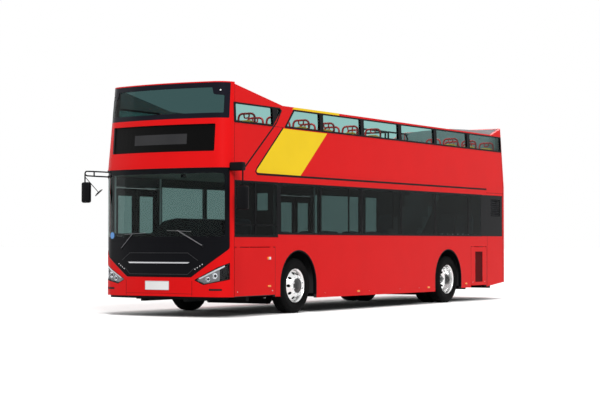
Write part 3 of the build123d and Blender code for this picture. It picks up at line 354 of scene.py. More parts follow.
def patches(name, parts, where, out0, out1, material, step=0.0, smooth=None):
    """Sheets that follow one side of the body, as one piece: parts is a list of lists of outlines."""
    bm = bmesh.new()
    for outlines in parts:
        add_patch(bm, outlines, where, out0, out1, step)
    return from_bmesh(name, bm, material, smooth=smooth)


def edges_of(made):
    """Edges of a form just made, each once and in the same order every time."""
    return list(dict.fromkeys(e for v in made["verts"] for e in v.link_edges))


def add_block(bm, x, y, z, bevel=0.0):
    """Adds a block between x, y and z pairs, with soft edges."""
    middle = Vector((sum(x) / 2, sum(y) / 2, sum(z) / 2))
    size = Vector((x[1] - x[0], y[1] - y[0], z[1] - z[0]))
    place = Matrix.Translation(middle) @ Matrix.Diagonal((*size, 1.0))
    made = bmesh.ops.create_cube(bm, size=1.0, matrix=place)
    if bevel:
        bmesh.ops.bevel(bm, geom=edges_of(made), offset=bevel, segments=3, profile=0.5, affect="EDGES")


def add_turned(bm, profile, centre, axis=(0, 1, 0), sides=64):
    """Adds a closed form turned about an axis, from (radius, along) points or a function of the step."""
    axis = Vector(axis).normalized()
    across = axis.orthogonal().normalized()
    other = axis.cross(across)
    rows = []
    for k in range(sides):
        angle = 2 * pi * k / sides
        spoke = across * cos(angle) + other * sin(angle)
        points = profile(k) if callable(profile) else profile
        rows.append([bm.verts.new(Vector(centre) + spoke * r + axis * w) for r, w in points])
    count = len(rows[0])
    for k in range(sides):
        here, after = rows[k], rows[(k + 1) % sides]
        for j in range(count):
            bm.faces.new([here[j], here[(j + 1) % count], after[(j + 1) % count], after[j]])


def add_drum(bm, centre, axis, radius, length, sides=24, tip=None):
    """Adds a solid drum or cone from centre along axis."""
    axis = Vector(axis).normalized()
    turn = axis.to_track_quat("Z", "Y").to_matrix().to_4x4()
    place = Matrix.Translation(Vector(centre) + axis * length / 2) @ turn
    bmesh.ops.create_cone(bm, cap_ends=True, segments=sides, radius1=radius,
                          radius2=radius if tip is None else tip,
                          depth=length, matrix=place)


def tubes(name, runs, radius, material, body="body", sides=3):
    """Round tubes as one curve piece; each run is (points, bend radius)."""
    curve = bpy.data.curves.new(name, "CURVE")
    curve.dimensions = "3D"
    curve.bevel_depth = radius
    curve.bevel_resolution = sides
    curve.use_fill_caps = True
    for points, bend in runs:
        path = [Vector(points[0])]
        for i in range(1, len(points) - 1):
            here = Vector(points[i])
            back, ahead = Vector(points[i - 1]) - here, Vector(points[i + 1]) - here
            reach = min(bend, back.length * 0.49, ahead.length * 0.49)
            start, end = here + back.normalized() * reach, here + ahead.normalized() * reach
            steps = 6 if bend else 0
            for k in range(steps + 1):
                t = k / max(1, steps)
                path.append(start * (1 - t) ** 2 + here * 2 * t * (1 - t) + end * t * t)
        path.append(Vector(points[-1]))
        spline = curve.splines.new("POLY")
        spline.points.add(len(path) - 1)
        for spot, point in zip(spline.points, path):
            spot.co = (*point, 1.0)
        spline.use_smooth = True
    curve.materials.append(material)
    obj = bpy.data.objects.new(name, curve)
    scene.collection.objects.link(obj)
    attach(obj, body)
    return obj


# Finish of the CAD nodes that stay

def dress(node, *materials, choose=None):
    """Gives a CAD node its materials; choose turns a face's centre and normal into a material's number."""
    obj = nodes[node]
    obj.data.materials.clear()
    for material in materials:
        obj.data.materials.append(material)
    if choose:
        for polygon in obj.data.polygons:
            polygon.material_index = choose(polygon.center, polygon.normal)
    return obj


def soften(node, width):
    """Rounds the edges of a CAD node."""
    modifier = nodes[node].modifiers.new("soft_edges", "BEVEL")
    modifier.width = width
    modifier.segments = 2
    modifier.limit_method = "ANGLE"


def line_inside(obj, material):
    """Gives the inner faces of a front panel another material."""
    obj.data.materials.append(material)
    for polygon in obj.data.polygons:
        inwards = polygon.normal.y * copysign(1.0, polygon.center.y)
        if polygon.normal.x + inwards < -0.2:
            polygon.material_index = 1


def lining_side(centre, normal):
    """1 for what isn't the outer skin of a side wall."""
    skin = HALF - TUMBLE * rise(centre.z) - 0.004
    top = normal.z > 0.5 and centre.z > 3.5
    return 0 if abs(centre.y) > skin or top else 1


def dress_nodes():
    """Materials of the nodes that show as they are."""
    dress("side_wall_left", paint_red, lining_dark, choose=lining_side)
    dress("side_wall_right", paint_red, lining_dark, choose=lining_side)
    dress("rear_wall", paint_red, lining_grey,
          choose=lambda c, n: 1 if n.x > 0.5 and c.x > REAR + 0.05 else 0)
    dress("rear_trim", lining_grey)
    for node in ("left_front_hatch", "left_rear_hatch", "rear_hatch"):
        dress(node, paint_red)
    # In the left rear hatch's louvre, the faces just inside the skin get a darker copy of the red, painted
    # shade in the recess; the deeper faces are black.
    dress("left_rear_hatch", paint_red, satin_black, louvre_red_painted_shade,
          choose=lambda c, n: 0 if c.y > HALF - 0.001 else 2 if c.y > HALF - 0.02 else 1)
    dress("vent_panels", gloss_black, edge_grey,
          choose=lambda c, n: 1 if abs(c.y) < HALF - 0.0085 and c.x > REAR + 0.0085 else 0)
    dress("destination_sign", sign_black)
    for node in ("lower_floor", "rear_platform", "wheel_boxes"):
        dress(node, lining_dark)
    dress("upper_floor", floor_vinyl, ceiling_khaki, choose=lambda c, n: 1 if n.z < -0.5 else 0)
    dress("staircase", floor_vinyl)
    for node in ("chassis_frame", "front_axle_beam", "rear_axle", "knuckle_left", "knuckle_right", "tie_rod"):
        dress(node, chassis_black)
    dress("battery_pack", pack_grey)
    dress("dashboard", cab_dark)
    dress("grab_rails", satin_black)
    dress("lower_side_glass", glass_band)
    soften("dashboard", 0.02)
    soften("staircase", 0.006)


def dress_doors():
    """Black door leaves with glass in their panes, on steel posts."""
    edge, foot, head, skin = 0.061, 0.194, 0.134, 0.0085
    for door in ("door_front_front", "door_front_rear", "door_middle_front", "door_middle_rear"):
        dress(door + "_post", steel)
        low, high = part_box(door + "_leaf")
        leaf = dress(door + "_leaf", gloss_black, glass_band)
        spots = leaf.data.vertices
        for polygon in leaf.data.polygons:
            corners = [spots[i].co for i in polygon.vertices]
            inside = all(low.x + edge < c.x < high.x - edge and low.z + foot < c.z < high.z - head
                         and c.y < low.y + skin for c in corners)
            polygon.material_index = 1 if inside else 0


# Front: cowl, black panel, windscreen and what is on them

MASK_HALF, MASK_SIDE_LOW, MASK_LOW_HALF, MASK_LOW = 1.2576, 1.13, 0.66, 0.655
SCREEN_LOW = 1.253
HEADLAMP = [(0.715, 0.612), (0.88, 0.534), (MASK_HALF, 0.623), (MASK_HALF, 0.90), (1.13, 0.83)]
FOG_SLOT = rectangle(0.97, 1.18, 0.44, 0.472)
CURVE_STEP = 0.05


def nose_outline(points, z=WAIST):
    """Outline given in (y, z), turned to lengths along the nose."""
    return [(along(y, z), height) for y, height in points]


def both(points):
    """The outline and its mirror image, both in the same sense."""
    return [points, [(-u, v) for u, v in reversed(points)]]


def bent(name, shapes, where, out0, out1, material):
    """Smooth patches that follow the bend of the front."""
    return patches(name, shapes, where, out0, out1, material, step=CURVE_STEP, smooth=35)


def make_cowl():
    """Red lower front with openings for the lamps and the black panel."""
    end = nose_end(WAIST)
    edge, low_edge = along(MASK_HALF), along(MASK_LOW_HALF)
    notch = rounded([(edge, WAIST), (edge, MASK_SIDE_LOW), (low_edge, MASK_LOW), (-low_edge, MASK_LOW),
                     (-edge, MASK_SIDE_LOW), (-edge, WAIST)], [0, 0.06, 0.08, 0.08, 0.06, 0])
    skirt = [(-end, WAIST), (-end, 0.336), (0, 0.344), (end, 0.336), (end, WAIST)]
    holes = [nose_outline(p) for p in both(HEADLAMP) + both(FOG_SLOT)]
    holes = [rounded(p, 0.012, 3) for p in holes]
    cowl = bent("cowl", [[skirt + notch] + holes], on_cowl, -0.03, 0.0, paint_red)
    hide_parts("front_cowl")
    line_inside(cowl, lining_dark)
    seams = [stripe([(u, 0.352), (u, 0.60)], 0.006) for u in (-0.68, 0.68)]
    seams += [stripe([(-0.68, 0.385), (0, 0.392), (0.68, 0.385)], 0.004)]
    patches("bumper_seams", [[p] for p in seams], on_cowl, -0.002, 0.0006, seal,
            step=CURVE_STEP)
    valance = rounded([(-1.35, 0.30), (1.35, 0.30), (1.38, 0.345), (-1.38, 0.345)], 0.02)
    patches("front_valance", [[valance]], on_nose, -0.09, -0.05, satin_black, step=CURVE_STEP)


def make_mask():
    """Black panel under the windscreen with its outlines, strip, lamps and plate."""
    edge, low_edge = along(MASK_HALF) - 0.003, along(MASK_LOW_HALF)
    outline = rounded([(-edge, SCREEN_LOW - 0.003), (-edge, MASK_SIDE_LOW), (-low_edge, MASK_LOW + 0.004),
                       (low_edge, MASK_LOW + 0.004), (edge, MASK_SIDE_LOW), (edge, SCREEN_LOW - 0.003)],
                      [0, 0.06, 0.08, 0.08, 0.06, 0])
    mask = bent("mask", [[outline]], on_mask, -0.004, 0.0, mask_black)
    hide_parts("grille_panel")
    shapes = [
        [(-0.79, 0.93), (-0.60, 1.055), (0.60, 1.055), (0.79, 0.93)],
        [(-0.72, 0.81), (-0.60, 0.705), (0.60, 0.705), (0.72, 0.81)],
    ]
    parts = [[stripe(points, 0.007)] for points in shapes]
    patches("mask_lines", parts, on_mask, -0.001, 0.0012, edge_grey, step=CURVE_STEP)
    strip = rounded([(-0.64, 0.905), (-0.60, 0.883), (0.60, 0.883), (0.64, 0.905)], 0.004)
    patches("mask_strip", [[strip]], on_mask, -0.001, 0.0035, steel, step=CURVE_STEP)
    dots = [(0.735, 0.790), (0.778, 0.816), (0.822, 0.843), (0.866, 0.870)]
    rings = [[circle(side * y, z, 0.0085, 12)] for side in (-1, 1) for y, z in dots]
    patches("marker_dots", rings, on_mask, -0.001, 0.004, lamp_white)
    plate = rounded(rectangle(-0.245, 0.245, 0.445, 0.592), 0.012)
    patches("plate_frame", [[plate, inset(plate, 0.008)]], on_cowl, -0.002, 0.0045, steel,
            step=0.1)
    patches("plate", [[inset(plate, 0.008)]], on_cowl, -0.002, 0.003, plate_white, step=0.1)


def make_windscreen():
    """Curved screen with its black border, round blank sticker and small camera."""
    edge = along(MASK_HALF) - 0.003
    outer = rounded(rectangle(-edge, edge, SCREEN_LOW, WAIST - 0.002), [0.02, 0.02, 0.01, 0.01])
    clear = rounded(rectangle(0.09 - edge, edge - 0.09, SCREEN_LOW + 0.07, WAIST - 0.09), 0.07)
    screen = bent("screen", [[clear]], on_mask, -0.008, -0.002, glass_screen)
    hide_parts("windscreen")
    bent("screen_border", [[outer, clear]], on_mask, -0.009, 0.0, mask_black)
    sticker = circle(along(-1.04), 1.345, 0.056)
    patches("round_sticker", [[sticker]], on_mask, -0.001, 0.0008, sticker_blue, step=0.03)
    bm = bmesh.new()
    add_block(bm, (5.24, 5.31), (0.36, 0.44), (2.30, 2.35), 0.01)
    add_block(bm, (5.26, 5.29), (0.39, 0.41), (2.34, 2.366), 0.004)
    from_bmesh("road_camera", bm, cab_dark, smooth=40)


def make_wipers():
    """Two wipers parked at the foot of the windscreen."""
    arms, blades, bolts = [], [], bmesh.new()
    for pivot, tip, blade in (
        ((0.87, 1.17), (0.40, 1.43), ((0.20, 1.425), (0.66, 1.405))),
        ((-0.80, 1.13), (-0.52, 1.38), ((-0.72, 1.36), (-0.24, 1.385))),
    ):
        arms.append(([on_mask(along(pivot[0]), pivot[1], 0.008), on_mask(along(tip[0]), tip[1], 0.010)], 0))
        ends = [Vector(blade[0]), Vector(blade[1])]
        run = [ends[0].lerp(ends[1], k / 8) for k in range(9)]
        blades.append(([on_mask(along(p.x), p.y, 0.0045) for p in run], 0))
        foot = on_mask(along(pivot[0]), pivot[1], 0.0)
        ahead = on_mask(along(pivot[0]), pivot[1], 1.0) - foot
        add_drum(bolts, foot, ahead, 0.024, 0.014, 20, 0.018)
    tubes("wiper_arms", arms, 0.007, wiper_grey)
    tubes("wiper_blades", blades, 0.0045, wiper_grey)
    from_bmesh("wiper_pivots", bolts, satin_black, smooth=40)


def lamp_piece(name, shapes, corner, out0, out1, material):
    """Layers of both lamps on the front: shapes is a list of lists of outlines."""
    bm = bmesh.new()
    for outlines in shapes:
        add_patch(bm, [rounded(nose_outline(p), corner, 3) for p in outlines], on_nose, out0, out1, 0.04)
    return from_bmesh(name, bm, material, smooth=35)


def make_projectors():
    """Two round projectors in each headlamp."""
    bowls, eyes = bmesh.new(), bmesh.new()
    for side in (-1, 1):
        for y, z, r in ((0.955, 0.628, 0.040), (1.075, 0.682, 0.048)):
            back = on_nose(along(side * y), z, -0.038)
            ahead = (on_nose(along(side * y), z, 0.0) - back).normalized() + Vector((0.9, 0, 0))
            bowl = [(r, 0.0), (r, 0.020), (r - 0.006, 0.020), (r - 0.010, 0.004), (0.004, 0.002), (0.004, 0)]
            add_turned(bowls, bowl, back, ahead, 28)
            add_drum(eyes, back + ahead.normalized() * 0.003, ahead, r * 0.55, 0.014, 20, r * 0.38)
    from_bmesh("lamp_bowls", bowls, chrome, smooth=35)
    from_bmesh("lamp_eyes", eyes, display_grey, smooth=35)


def make_headlamps():
    """Angular headlamps: dark housing, reflector, a bright upper strip and a clear cover."""
    edge = MASK_HALF - 0.010
    inner = [(0.735, 0.612), (0.882, 0.546), (edge, 0.634), (edge, 0.886), (1.132, 0.818)]
    bright = [(0.745, 0.613), (0.884, 0.556), (1.150, 0.596), (1.150, 0.815), (1.125, 0.803)]
    strip = [(0.79, 0.640), (1.09, 0.785), (1.215, 0.852), (1.215, 0.830), (1.10, 0.762), (0.82, 0.628)]
    cover = lamp_piece("lamp_covers", [[p] for p in both(HEADLAMP)], 0.012, -0.006, -0.001, lens_clear)
    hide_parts("lamps")
    housings, strips = bmesh.new(), bmesh.new()
    for outline, line in zip(both(HEADLAMP), both(strip)):
        add_patch(housings, [rounded(nose_outline(outline), 0.012, 3)], on_nose, -0.045, -0.041, 0.04)
        add_patch(strips, [nose_outline(line)], on_nose, -0.022, -0.014, 0.03)
    for outline, hole in zip(both(HEADLAMP), both(inner)):
        rim = [rounded(nose_outline(outline), 0.012, 3), rounded(nose_outline(hole), 0.010, 3)]
        add_patch(housings, rim, on_nose, -0.042, -0.0005, 0.04)
    from_bmesh("lamp_housings", housings, satin_black, smooth=35)
    lamp_piece("lamp_reflectors", [[p] for p in both(bright)], 0.010, -0.0405, -0.038, reflector)
    from_bmesh("lamp_strips", strips, lamp_white, smooth=35)


def make_fog_lamps():
    """Narrow lamps low in the cowl."""
    lamp_piece("fog_housings", [[p] for p in both(FOG_SLOT)], 0.010, -0.03, -0.012, satin_black)
    faces = bmesh.new()
    for slot in both(FOG_SLOT):
        face = rounded(inset(nose_outline(slot), 0.009), 0.004, 3)
        add_patch(faces, [face], on_nose, -0.012, -0.006, 0.04)
    from_bmesh("fog_reflectors", faces, display_grey, smooth=35)


def make_prow():
    """Red upper front with the sign's recess, and the open deck's black-framed windscreen."""
    low, top = nose_end(WAIST), nose_end(HEIGHT)
    sign = nose_outline(rectangle(-1.05, 1.05, 2.72, 3.17), 2.95)
    frame_edge = nose_outline(rectangle(-1.205, 1.205, 3.264, 3.852), 3.55)
    view = [(-1.155, 3.348), (1.155, 3.348), (1.155, 3.640), (0.99, 3.652), (0.965, 3.770),
            (-0.965, 3.770), (-0.99, 3.652), (-1.155, 3.640)]
    view = rounded(nose_outline(view, 3.55), [0.03, 0.03, 0.02, 0.05, 0.03, 0.03, 0.05, 0.02])
    skin = [(-low, WAIST), (low, WAIST), (top, HEIGHT), (-top, HEIGHT)]
    sheet = [skin, rounded(sign, 0.02), rounded(frame_edge, 0.02)]
    prow = bent("prow", [sheet], on_nose, -WALL, 0.0, paint_red)
    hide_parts("front_upper_panel")
    line_inside(prow, lining_dark)
    bent("deck_screen_frame", [[rounded(frame_edge, 0.02), view]], on_nose, -0.035, -0.001, mask_blue)
    pane = bent("deck_screen", [[view]], on_nose, -0.014, -0.006, glass_deck)
    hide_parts("front_upper_glass")
    lit = nose_outline(rectangle(-0.54, 0.54, 2.845, 3.015), 2.95)
    patches("sign_display", [[lit]], on_nose, -0.0265, -0.0235, display_grey, step=CURVE_STEP)
    lamps, bezels = [], []
    for side in (-1, 1):
        at = along(side * 1.095, 3.73), 3.722
        lamps.append([circle(*at, 0.013, 16)])
        bezels.append([circle(*at, 0.024, 20), circle(*at, 0.013, 16)])
    patches("roof_markers", lamps, on_nose, -0.002, 0.008, lamp_white, smooth=40)
    patches("roof_marker_bezels", bezels, on_nose, -0.002, 0.004, satin_black)


# Sides: livery, window frames, seams and small lamps

SEAM = nose_plan(WAIST)[1]
BAND_TOP, BAND_LOW, CAB_LOW = 2.247, 1.365, 1.319
PILLARS = [SEAM - 2.717, SEAM - 4.187, SEAM - 5.731, SEAM - 7.174, SEAM - 8.688]
COMPARTMENT_X = REAR + 1.22
RAIL_TOP, RAIL_REAR = 3.578, 3.560
CHEEK_END = SEAM - 1.545
FIN_FRONT, FIN_BACK, FIN_TOP = REAR + 0.607, REAR + 0.066, 3.737
WALL_REAR, WALL_FOOT = REAR + 0.153, 2.376
PANE_LOW, PANE_TOP = 3.230, 3.508
DECK_PILLARS = [2.258, 0.787, -0.686, -2.185, -3.700]
DECK_ROW_END = -5.335
ROW_START = DECK_PILLARS[0] + 0.060
DECK_PANES = [
    rectangle(3.862, 4.972, PANE_LOW, PANE_TOP),
    [(3.738, 3.350), (3.692, PANE_TOP), (3.592, PANE_TOP)],
    [(ROW_START, PANE_LOW), (3.425, PANE_LOW), (3.160, PANE_TOP), (ROW_START, PANE_TOP)],
]
DECK_PANES += [rectangle(rear + 0.062, front - 0.062, PANE_LOW, PANE_TOP)
               for rear, front in zip(DECK_PILLARS[1:], DECK_PILLARS)]
DECK_PANES += [rectangle(WALL_REAR + 0.03, DECK_PILLARS[-1] - 0.070, PANE_LOW, PANE_TOP)]
DECK_PANES = [rounded(pane, 0.020) for pane in DECK_PANES]
LEFT_WINDOWS = [rectangle(SEAM - 1.318, SEAM - 0.011, CAB_LOW, BAND_TOP)]
LEFT_WINDOWS += [rectangle(rear, front, BAND_LOW, BAND_TOP)
                 for rear, front in zip(PILLARS + [COMPARTMENT_X], [SEAM - 1.373] + PILLARS)]
RIGHT_WINDOWS = [rectangle(rear, front, BAND_LOW, BAND_TOP) for rear, front in (
    (PILLARS[0], SEAM - 1.333), (PILLARS[1], PILLARS[0]), (-0.0995, PILLARS[1]), (PILLARS[4], -1.4795),
    (COMPARTMENT_X, PILLARS[4]))]
YELLOW = [(4.470, 2.392), (3.530, 3.186), (2.071, 3.184), (3.032, 2.390)]
MOULDING_Z = 2.371
SEAM_WIDTH = 0.006
ARCH_X = (FRONT_AXLE_X + 0.015, REAR_AXLE_X + 0.09)
ARCH_Z, ARCH_FOOT, ARCH_OUTER, ARCH_INNER = 0.5, 0.32, 0.598, 0.578


def make_livery():
    """Yellow field, black lines, moulding and panel seams on both sides."""
    for _, name, where in SIDES:
        field = rounded(YELLOW[::-1], [0.0, 0.0, 0.0, 0.05])
        rail = [(3.225, 3.540), (1.616, 3.540), (1.616, 3.578), (3.150, 3.578)]
        patches(f"livery_yellow_{name}", [[field], [rail]], where, 0.0001, 0.0010, paint_yellow)
        lines = [
            stripe([(4.790, 2.452), (3.825, 3.206), (3.734, 3.285), (3.570, 3.500)], 0.030),
            stripe([(3.535, 3.200), (4.405, 2.465), (4.448, 2.412), (4.400, MOULDING_Z)], 0.028),
            stripe([(4.400, MOULDING_Z), (-4.503, MOULDING_Z)], 0.034),
        ]
        patches(f"livery_lines_{name}", [[p] for p in lines], where, 0.0001, 0.0016, satin_black)
        runs = [
            [(-4.541, 0.31), (-4.541, BAND_LOW)],
            [(-5.3245, 0.40), (-5.3245, 3.20)],
            [(SEAM, 0.34), (SEAM, WAIST), (nose_plan(3.82)[1], 3.82)],
            [(-4.50, MOULDING_Z - 0.075), (-5.3245, MOULDING_Z - 0.075)],
        ]
        seams = [stripe(run, SEAM_WIDTH) for run in runs] + [stripe([(3.80, 3.203), (3.56, 3.203)], 0.005)]
        patches(f"panel_seams_{name}", [[p] for p in seams], where, 0.0001, 0.0008, seal)


def make_deck_walls():
    """Red outer walls of the open deck with grey lining, black window reveals and teal panes."""
    fall = (FIN_TOP - RAIL_REAR) / (FIN_FRONT - FIN_BACK)
    rear_top = RAIL_REAR + (FIN_FRONT - WALL_REAR) * fall
    top_z = 3.838
    outline = [(WALL_REAR, WALL_FOOT), (SEAM, WALL_FOOT), (SEAM, WAIST), (nose_plan(top_z)[1], top_z),
               (CHEEK_END, RAIL_TOP), (FIN_FRONT, RAIL_REAR), (WALL_REAR, rear_top)]
    walls, glazing = bmesh.new(), bmesh.new()
    for _, _, where in SIDES:
        holes = [inset(pane, -0.026) for pane in DECK_PANES]
        holes[1] = inset(DECK_PANES[1], -0.012)
        add_patch(walls, [outline] + holes, where, -WALL, 0.0)
        for hole in holes:
            add_patch(glazing, [hole], where, -0.016, -0.010)
    wall = from_bmesh("deck_walls", walls, paint_red)
    wall.data.materials.append(lining_grey)
    wall.data.materials.append(satin_black)
    for polygon in wall.data.polygons:
        centre, normal = polygon.center, polygon.normal
        edge_on = abs(normal.y) < 0.5
        level = PANE_LOW - 0.03 < centre.z < PANE_TOP + 0.03
        if edge_on and level and WALL_REAR + 0.002 < centre.x < SEAM - 0.09:
            polygon.material_index = 2
        elif not edge_on and normal.y * centre.y < 0:
            polygon.material_index = 1
    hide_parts("upper_sides")
    panes = from_bmesh("deck_side_glass", glazing, glass_side)
    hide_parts("upper_side_glass")


def make_window_frames():
    """Black borders round every side window."""
    for side, name, where in SIDES:
        first = [(3.871, 3.200), (5.035, 3.200), (5.030, 3.539), (3.545, 3.536)]
        row = [(DECK_ROW_END, 3.200), (3.505, 3.200), (3.185, 3.536), (DECK_ROW_END, 3.536)]
        upper = [[rounded(first, [0.02, 0.02, 0.02, 0.05])] + DECK_PANES[:2],
                 [rounded(row, [0.02, 0.02, 0.01, 0.02])] + DECK_PANES[2:]]
        patches(f"upper_window_frames_{name}", upper, where, 0.0003, 0.0045, satin_black,
                smooth=35)
        windows = LEFT_WINDOWS if side > 0 else RIGHT_WINDOWS
        lower = [[inset(w, -0.004), rounded(inset(w, 0.034), 0.03)] for w in windows]
        patches(f"lower_window_frames_{name}", lower, where, 0.0002, 0.0016, gloss_black,
                smooth=35)
    cab = LEFT_WINDOWS[0]
    divider = [stripe([(SEAM - 0.62, CAB_LOW), (SEAM - 0.62, BAND_TOP)], 0.045)]
    divider += [stripe([(SEAM - 1.28, 1.52), (SEAM - 0.05, 1.52)], 0.022)]
    patches("cab_window_bars", [[p] for p in divider], on_left, 0.0018, 0.0034, gloss_black)
    lintel = [rectangle(cab[0][0] - 0.060, cab[0][0] + 0.004, BAND_LOW, BAND_TOP)]
    patches("band_joint", [[p] for p in lintel], on_left, 0.0002, 0.0014, gloss_black)


def arch_lip(centre):
    """Outline of the thin black rim over one wheel arch."""
    angles = [pi * k / 36 for k in range(37)]
    outer, inner = ([(centre + r * cos(a), ARCH_Z + r * sin(a)) for a in angles]
                    for r in (ARCH_OUTER, ARCH_INNER))
    outer = [(centre + ARCH_OUTER, ARCH_FOOT)] + outer + [(centre - ARCH_OUTER, ARCH_FOOT)]
    return outer + [(centre - ARCH_INNER, ARCH_FOOT)] + inner[::-1] + [(centre + ARCH_INNER, ARCH_FOOT)]


def make_side_lamps(name, where):
    """Amber markers and the two-part lamp ahead of the front wheel."""
    markers = [(4.0285, 0.493), (1.0115, 0.333), (-1.8015, 0.336), (-3.4995, 0.376)]
    shapes = [[rounded(rectangle(x - 0.045, x + 0.045, z - 0.016, z + 0.016), 0.012)] for x, z in markers]
    shapes += [[rounded(rectangle(4.035, 4.085, 0.94, 0.985), 0.010)]]
    patches(f"side_markers_{name}", shapes, where, 0.0002, 0.010, amber, smooth=40)
    clear = [[rounded(rectangle(3.985, 4.033, 0.94, 0.985), 0.010)]]
    patches(f"side_blinker_{name}", clear, where, 0.0002, 0.009, lamp_white, smooth=40)


def make_side_bolts(side, name, where):
    """Small bolt heads along the skirt and under the rear windows."""
    bolts = bmesh.new()
    spots = [(x, 0.335) for x in (2.2, 0.6, -0.6, -1.4, -4.7, -5.1)]
    spots += [(-2.4 - 0.24 * k, 1.405) for k in range(6)]
    for x, z in spots:
        add_drum(bolts, where(x, z, 0.0005), (0, side, 0), 0.006, 0.002, 12, 0.004)
    from_bmesh(f"side_bolts_{name}", bolts, steel, smooth=40)


def make_catches(node):
    """Two quarter-turn catches at the foot of a hatch."""
    low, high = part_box(node)
    catch = bmesh.new()
    for x in (low.x + 0.08, high.x - 0.08):
        add_drum(catch, (x, HALF, low.z + 0.07), (0, 1, 0), 0.010, 0.003, 20, 0.008)
        slot_z = (low.z + 0.0685, low.z + 0.0715)
        add_block(catch, (x - 0.010, x + 0.010), (HALF + 0.002, HALF + 0.004), slot_z, 0.0005)
    from_bmesh(f"{node}_catches", catch, steel, node, smooth=40)


def make_side_details():
    """Lamps, rims of the wheel arches, bolts and hatch catches."""
    for side, name, where in SIDES:
        make_side_lamps(name, where)
        lips = [[arch_lip(centre)] for centre in ARCH_X]
        patches(f"arch_lips_{name}", lips, where, -0.058, 0.0006, satin_black, smooth=40)
        make_side_bolts(side, name, where)
    for node in ("left_front_hatch", "left_rear_hatch"):
        make_catches(node)


# Mirrors

LEFT_X, RIGHT_X = SEAM + 0.125, 5.425
# Side, x, distance from the body, half width, foot and top of each head
MIRRORS = ((1, LEFT_X, 0.25, 0.105, 1.755, 2.15), (-1, RIGHT_X, 0.270, 0.085, 1.90, 2.262))


def make_mirrors():
    """Tall heads with two glasses each, the bracket block on the left and the two sockets on the right."""
    heads, blocks, faces = bmesh.new(), bmesh.new(), bmesh.new()
    for side, x, off, wide, z0, z1 in MIRRORS:
        y = sorted((side * (HALF + off - wide), side * (HALF + off + wide)))
        add_block(heads, (x - 0.048, x + 0.048), y, (z0 + 0.004, z1 - 0.004), 0.034)
        for glass_z in ((z0 + 0.13, z1 - 0.03), (z0 + 0.03, z0 + 0.11)):
            add_block(faces, (x - 0.0495, x - 0.046), (y[0] + 0.022, y[1] - 0.022), glass_z, 0.001)
    add_block(blocks, (5.085, 5.195), (HALF - 0.02, HALF + 0.235), (2.395, 2.535), 0.018)
    for z in (2.445, 2.350):
        add_drum(blocks, (5.14, -HALF + 0.02, z), (0, -1, 0), 0.028, 0.035, 20)
    mirror_heads = from_bmesh("mirror_heads", heads, satin_black, smooth=40)
    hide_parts("mirrors")
    from_bmesh("mirror_brackets", blocks, satin_black, smooth=40)
    from_bmesh("mirror_faces", faces, chrome)


def make_mirror_arms():
    """Bent arm on the left, double tube on the right, and the small round kerb mirror."""
    y, far_y = HALF + 0.25, -HALF - 0.30
    runs = [
        ([(5.15, HALF + 0.20, 2.46), (LEFT_X - 0.03, HALF + 0.23, 2.44), (LEFT_X, y, 2.38),
          (LEFT_X, y, 2.14)],
         0.05),
        ([(5.12, -HALF + 0.01, 2.430), (RIGHT_X, -HALF - 0.09, 2.435), (RIGHT_X, far_y, 2.445),
          (RIGHT_X, far_y, 2.25)],
         0.05),
        ([(5.12, -HALF + 0.01, 2.350), (RIGHT_X, -HALF - 0.09, 2.355), (RIGHT_X, -HALF - 0.26, 2.367),
          (RIGHT_X, far_y, 2.39)], 0.02),
        ([(RIGHT_X, -HALF - 0.10, 2.436), (RIGHT_X, -HALF - 0.10, 2.356)], 0),
    ]
    tubes("mirror_arms", runs, 0.0125, satin_black, sides=4)
    kerb_at = Vector((5.385, -HALF - 0.035, 2.08))
    stem = [([(RIGHT_X, -HALF - 0.29, 2.34), kerb_at], 0)]
    tubes("kerb_mirror_stem", stem, 0.0065, satin_black)
    small = bmesh.new()
    profile = [(0.0005, -0.008), (0.060, -0.006), (0.084, 0.004), (0.084, 0.012), (0.0005, 0.014)]
    add_turned(small, profile, kerb_at, (-0.41, 0.62, -0.78), 28)
    from_bmesh("kerb_mirror", small, satin_black, smooth=40)


# Wheels

TYRE_W = 0.275
TREAD_STEPS = 96
DISC_OUT = 0.159
DISC_RIM, DISC_FLAT, DISC_DEPTH = 0.262, 0.178, 0.084
NUT_CIRCLE = 0.157
TYRE_OUT, PAIR_GAP = 1.215, 0.318
FRONT_HUB = [(0.0005, 0.026), (0.050, 0.026), (0.064, 0.020), (0.076, 0.012), (0.090, 0.008), (0.128, 0.004),
             (0.134, -0.002), (0.134, -0.05), (0.0005, -0.05)]
REAR_HUB = [(0.0005, 0.150), (0.060, 0.150), (0.086, 0.138), (0.094, 0.06), (0.112, 0.05), (0.124, 0.0),
            (0.124, -0.05), (0.0005, -0.05)]


def tyre_profile(step):
    """Half section of a tyre at one step of its turn: grooved tread, lugs at the shoulders, ribbed walls."""
    half = TYRE_W / 2
    dip = 0.006 if step % 3 == 0 else 0.0
    wall = [(0.292, half - 0.032), (0.302, half - 0.017), (0.318, half - 0.012), (0.322, half - 0.015),
            (0.340, half - 0.005), (0.372, half), (0.408, half - 0.002), (0.412, half - 0.005),
            (0.442, half - 0.012), (0.462, half - 0.026 - dip), (0.4745, half - 0.042 - dip)]
    tread = [(0.4785 - dip, half - 0.055)]
    for groove in (0.054, 0.018):
        tread += [(0.4787, groove + 0.006), (0.468, groove + 0.004), (0.468, groove - 0.004),
                  (0.4787, groove - 0.006)]
    right = wall + tread
    return right + [(r, -w) for r, w in reversed(right)]


def disc_place(centre, side, way):
    """Surface of a wheel disc: a cone from the barrel to a flat middle."""
    def place(u, v, out):
        share = max(0.0, min(1.0, (DISC_RIM - hypot(u, v)) / (DISC_RIM - DISC_FLAT)))
        w = way * (DISC_OUT - DISC_DEPTH + DISC_DEPTH * share + out)
        return Vector((centre[0] + u, centre[1] + side * w, centre[2] + v))
    return place


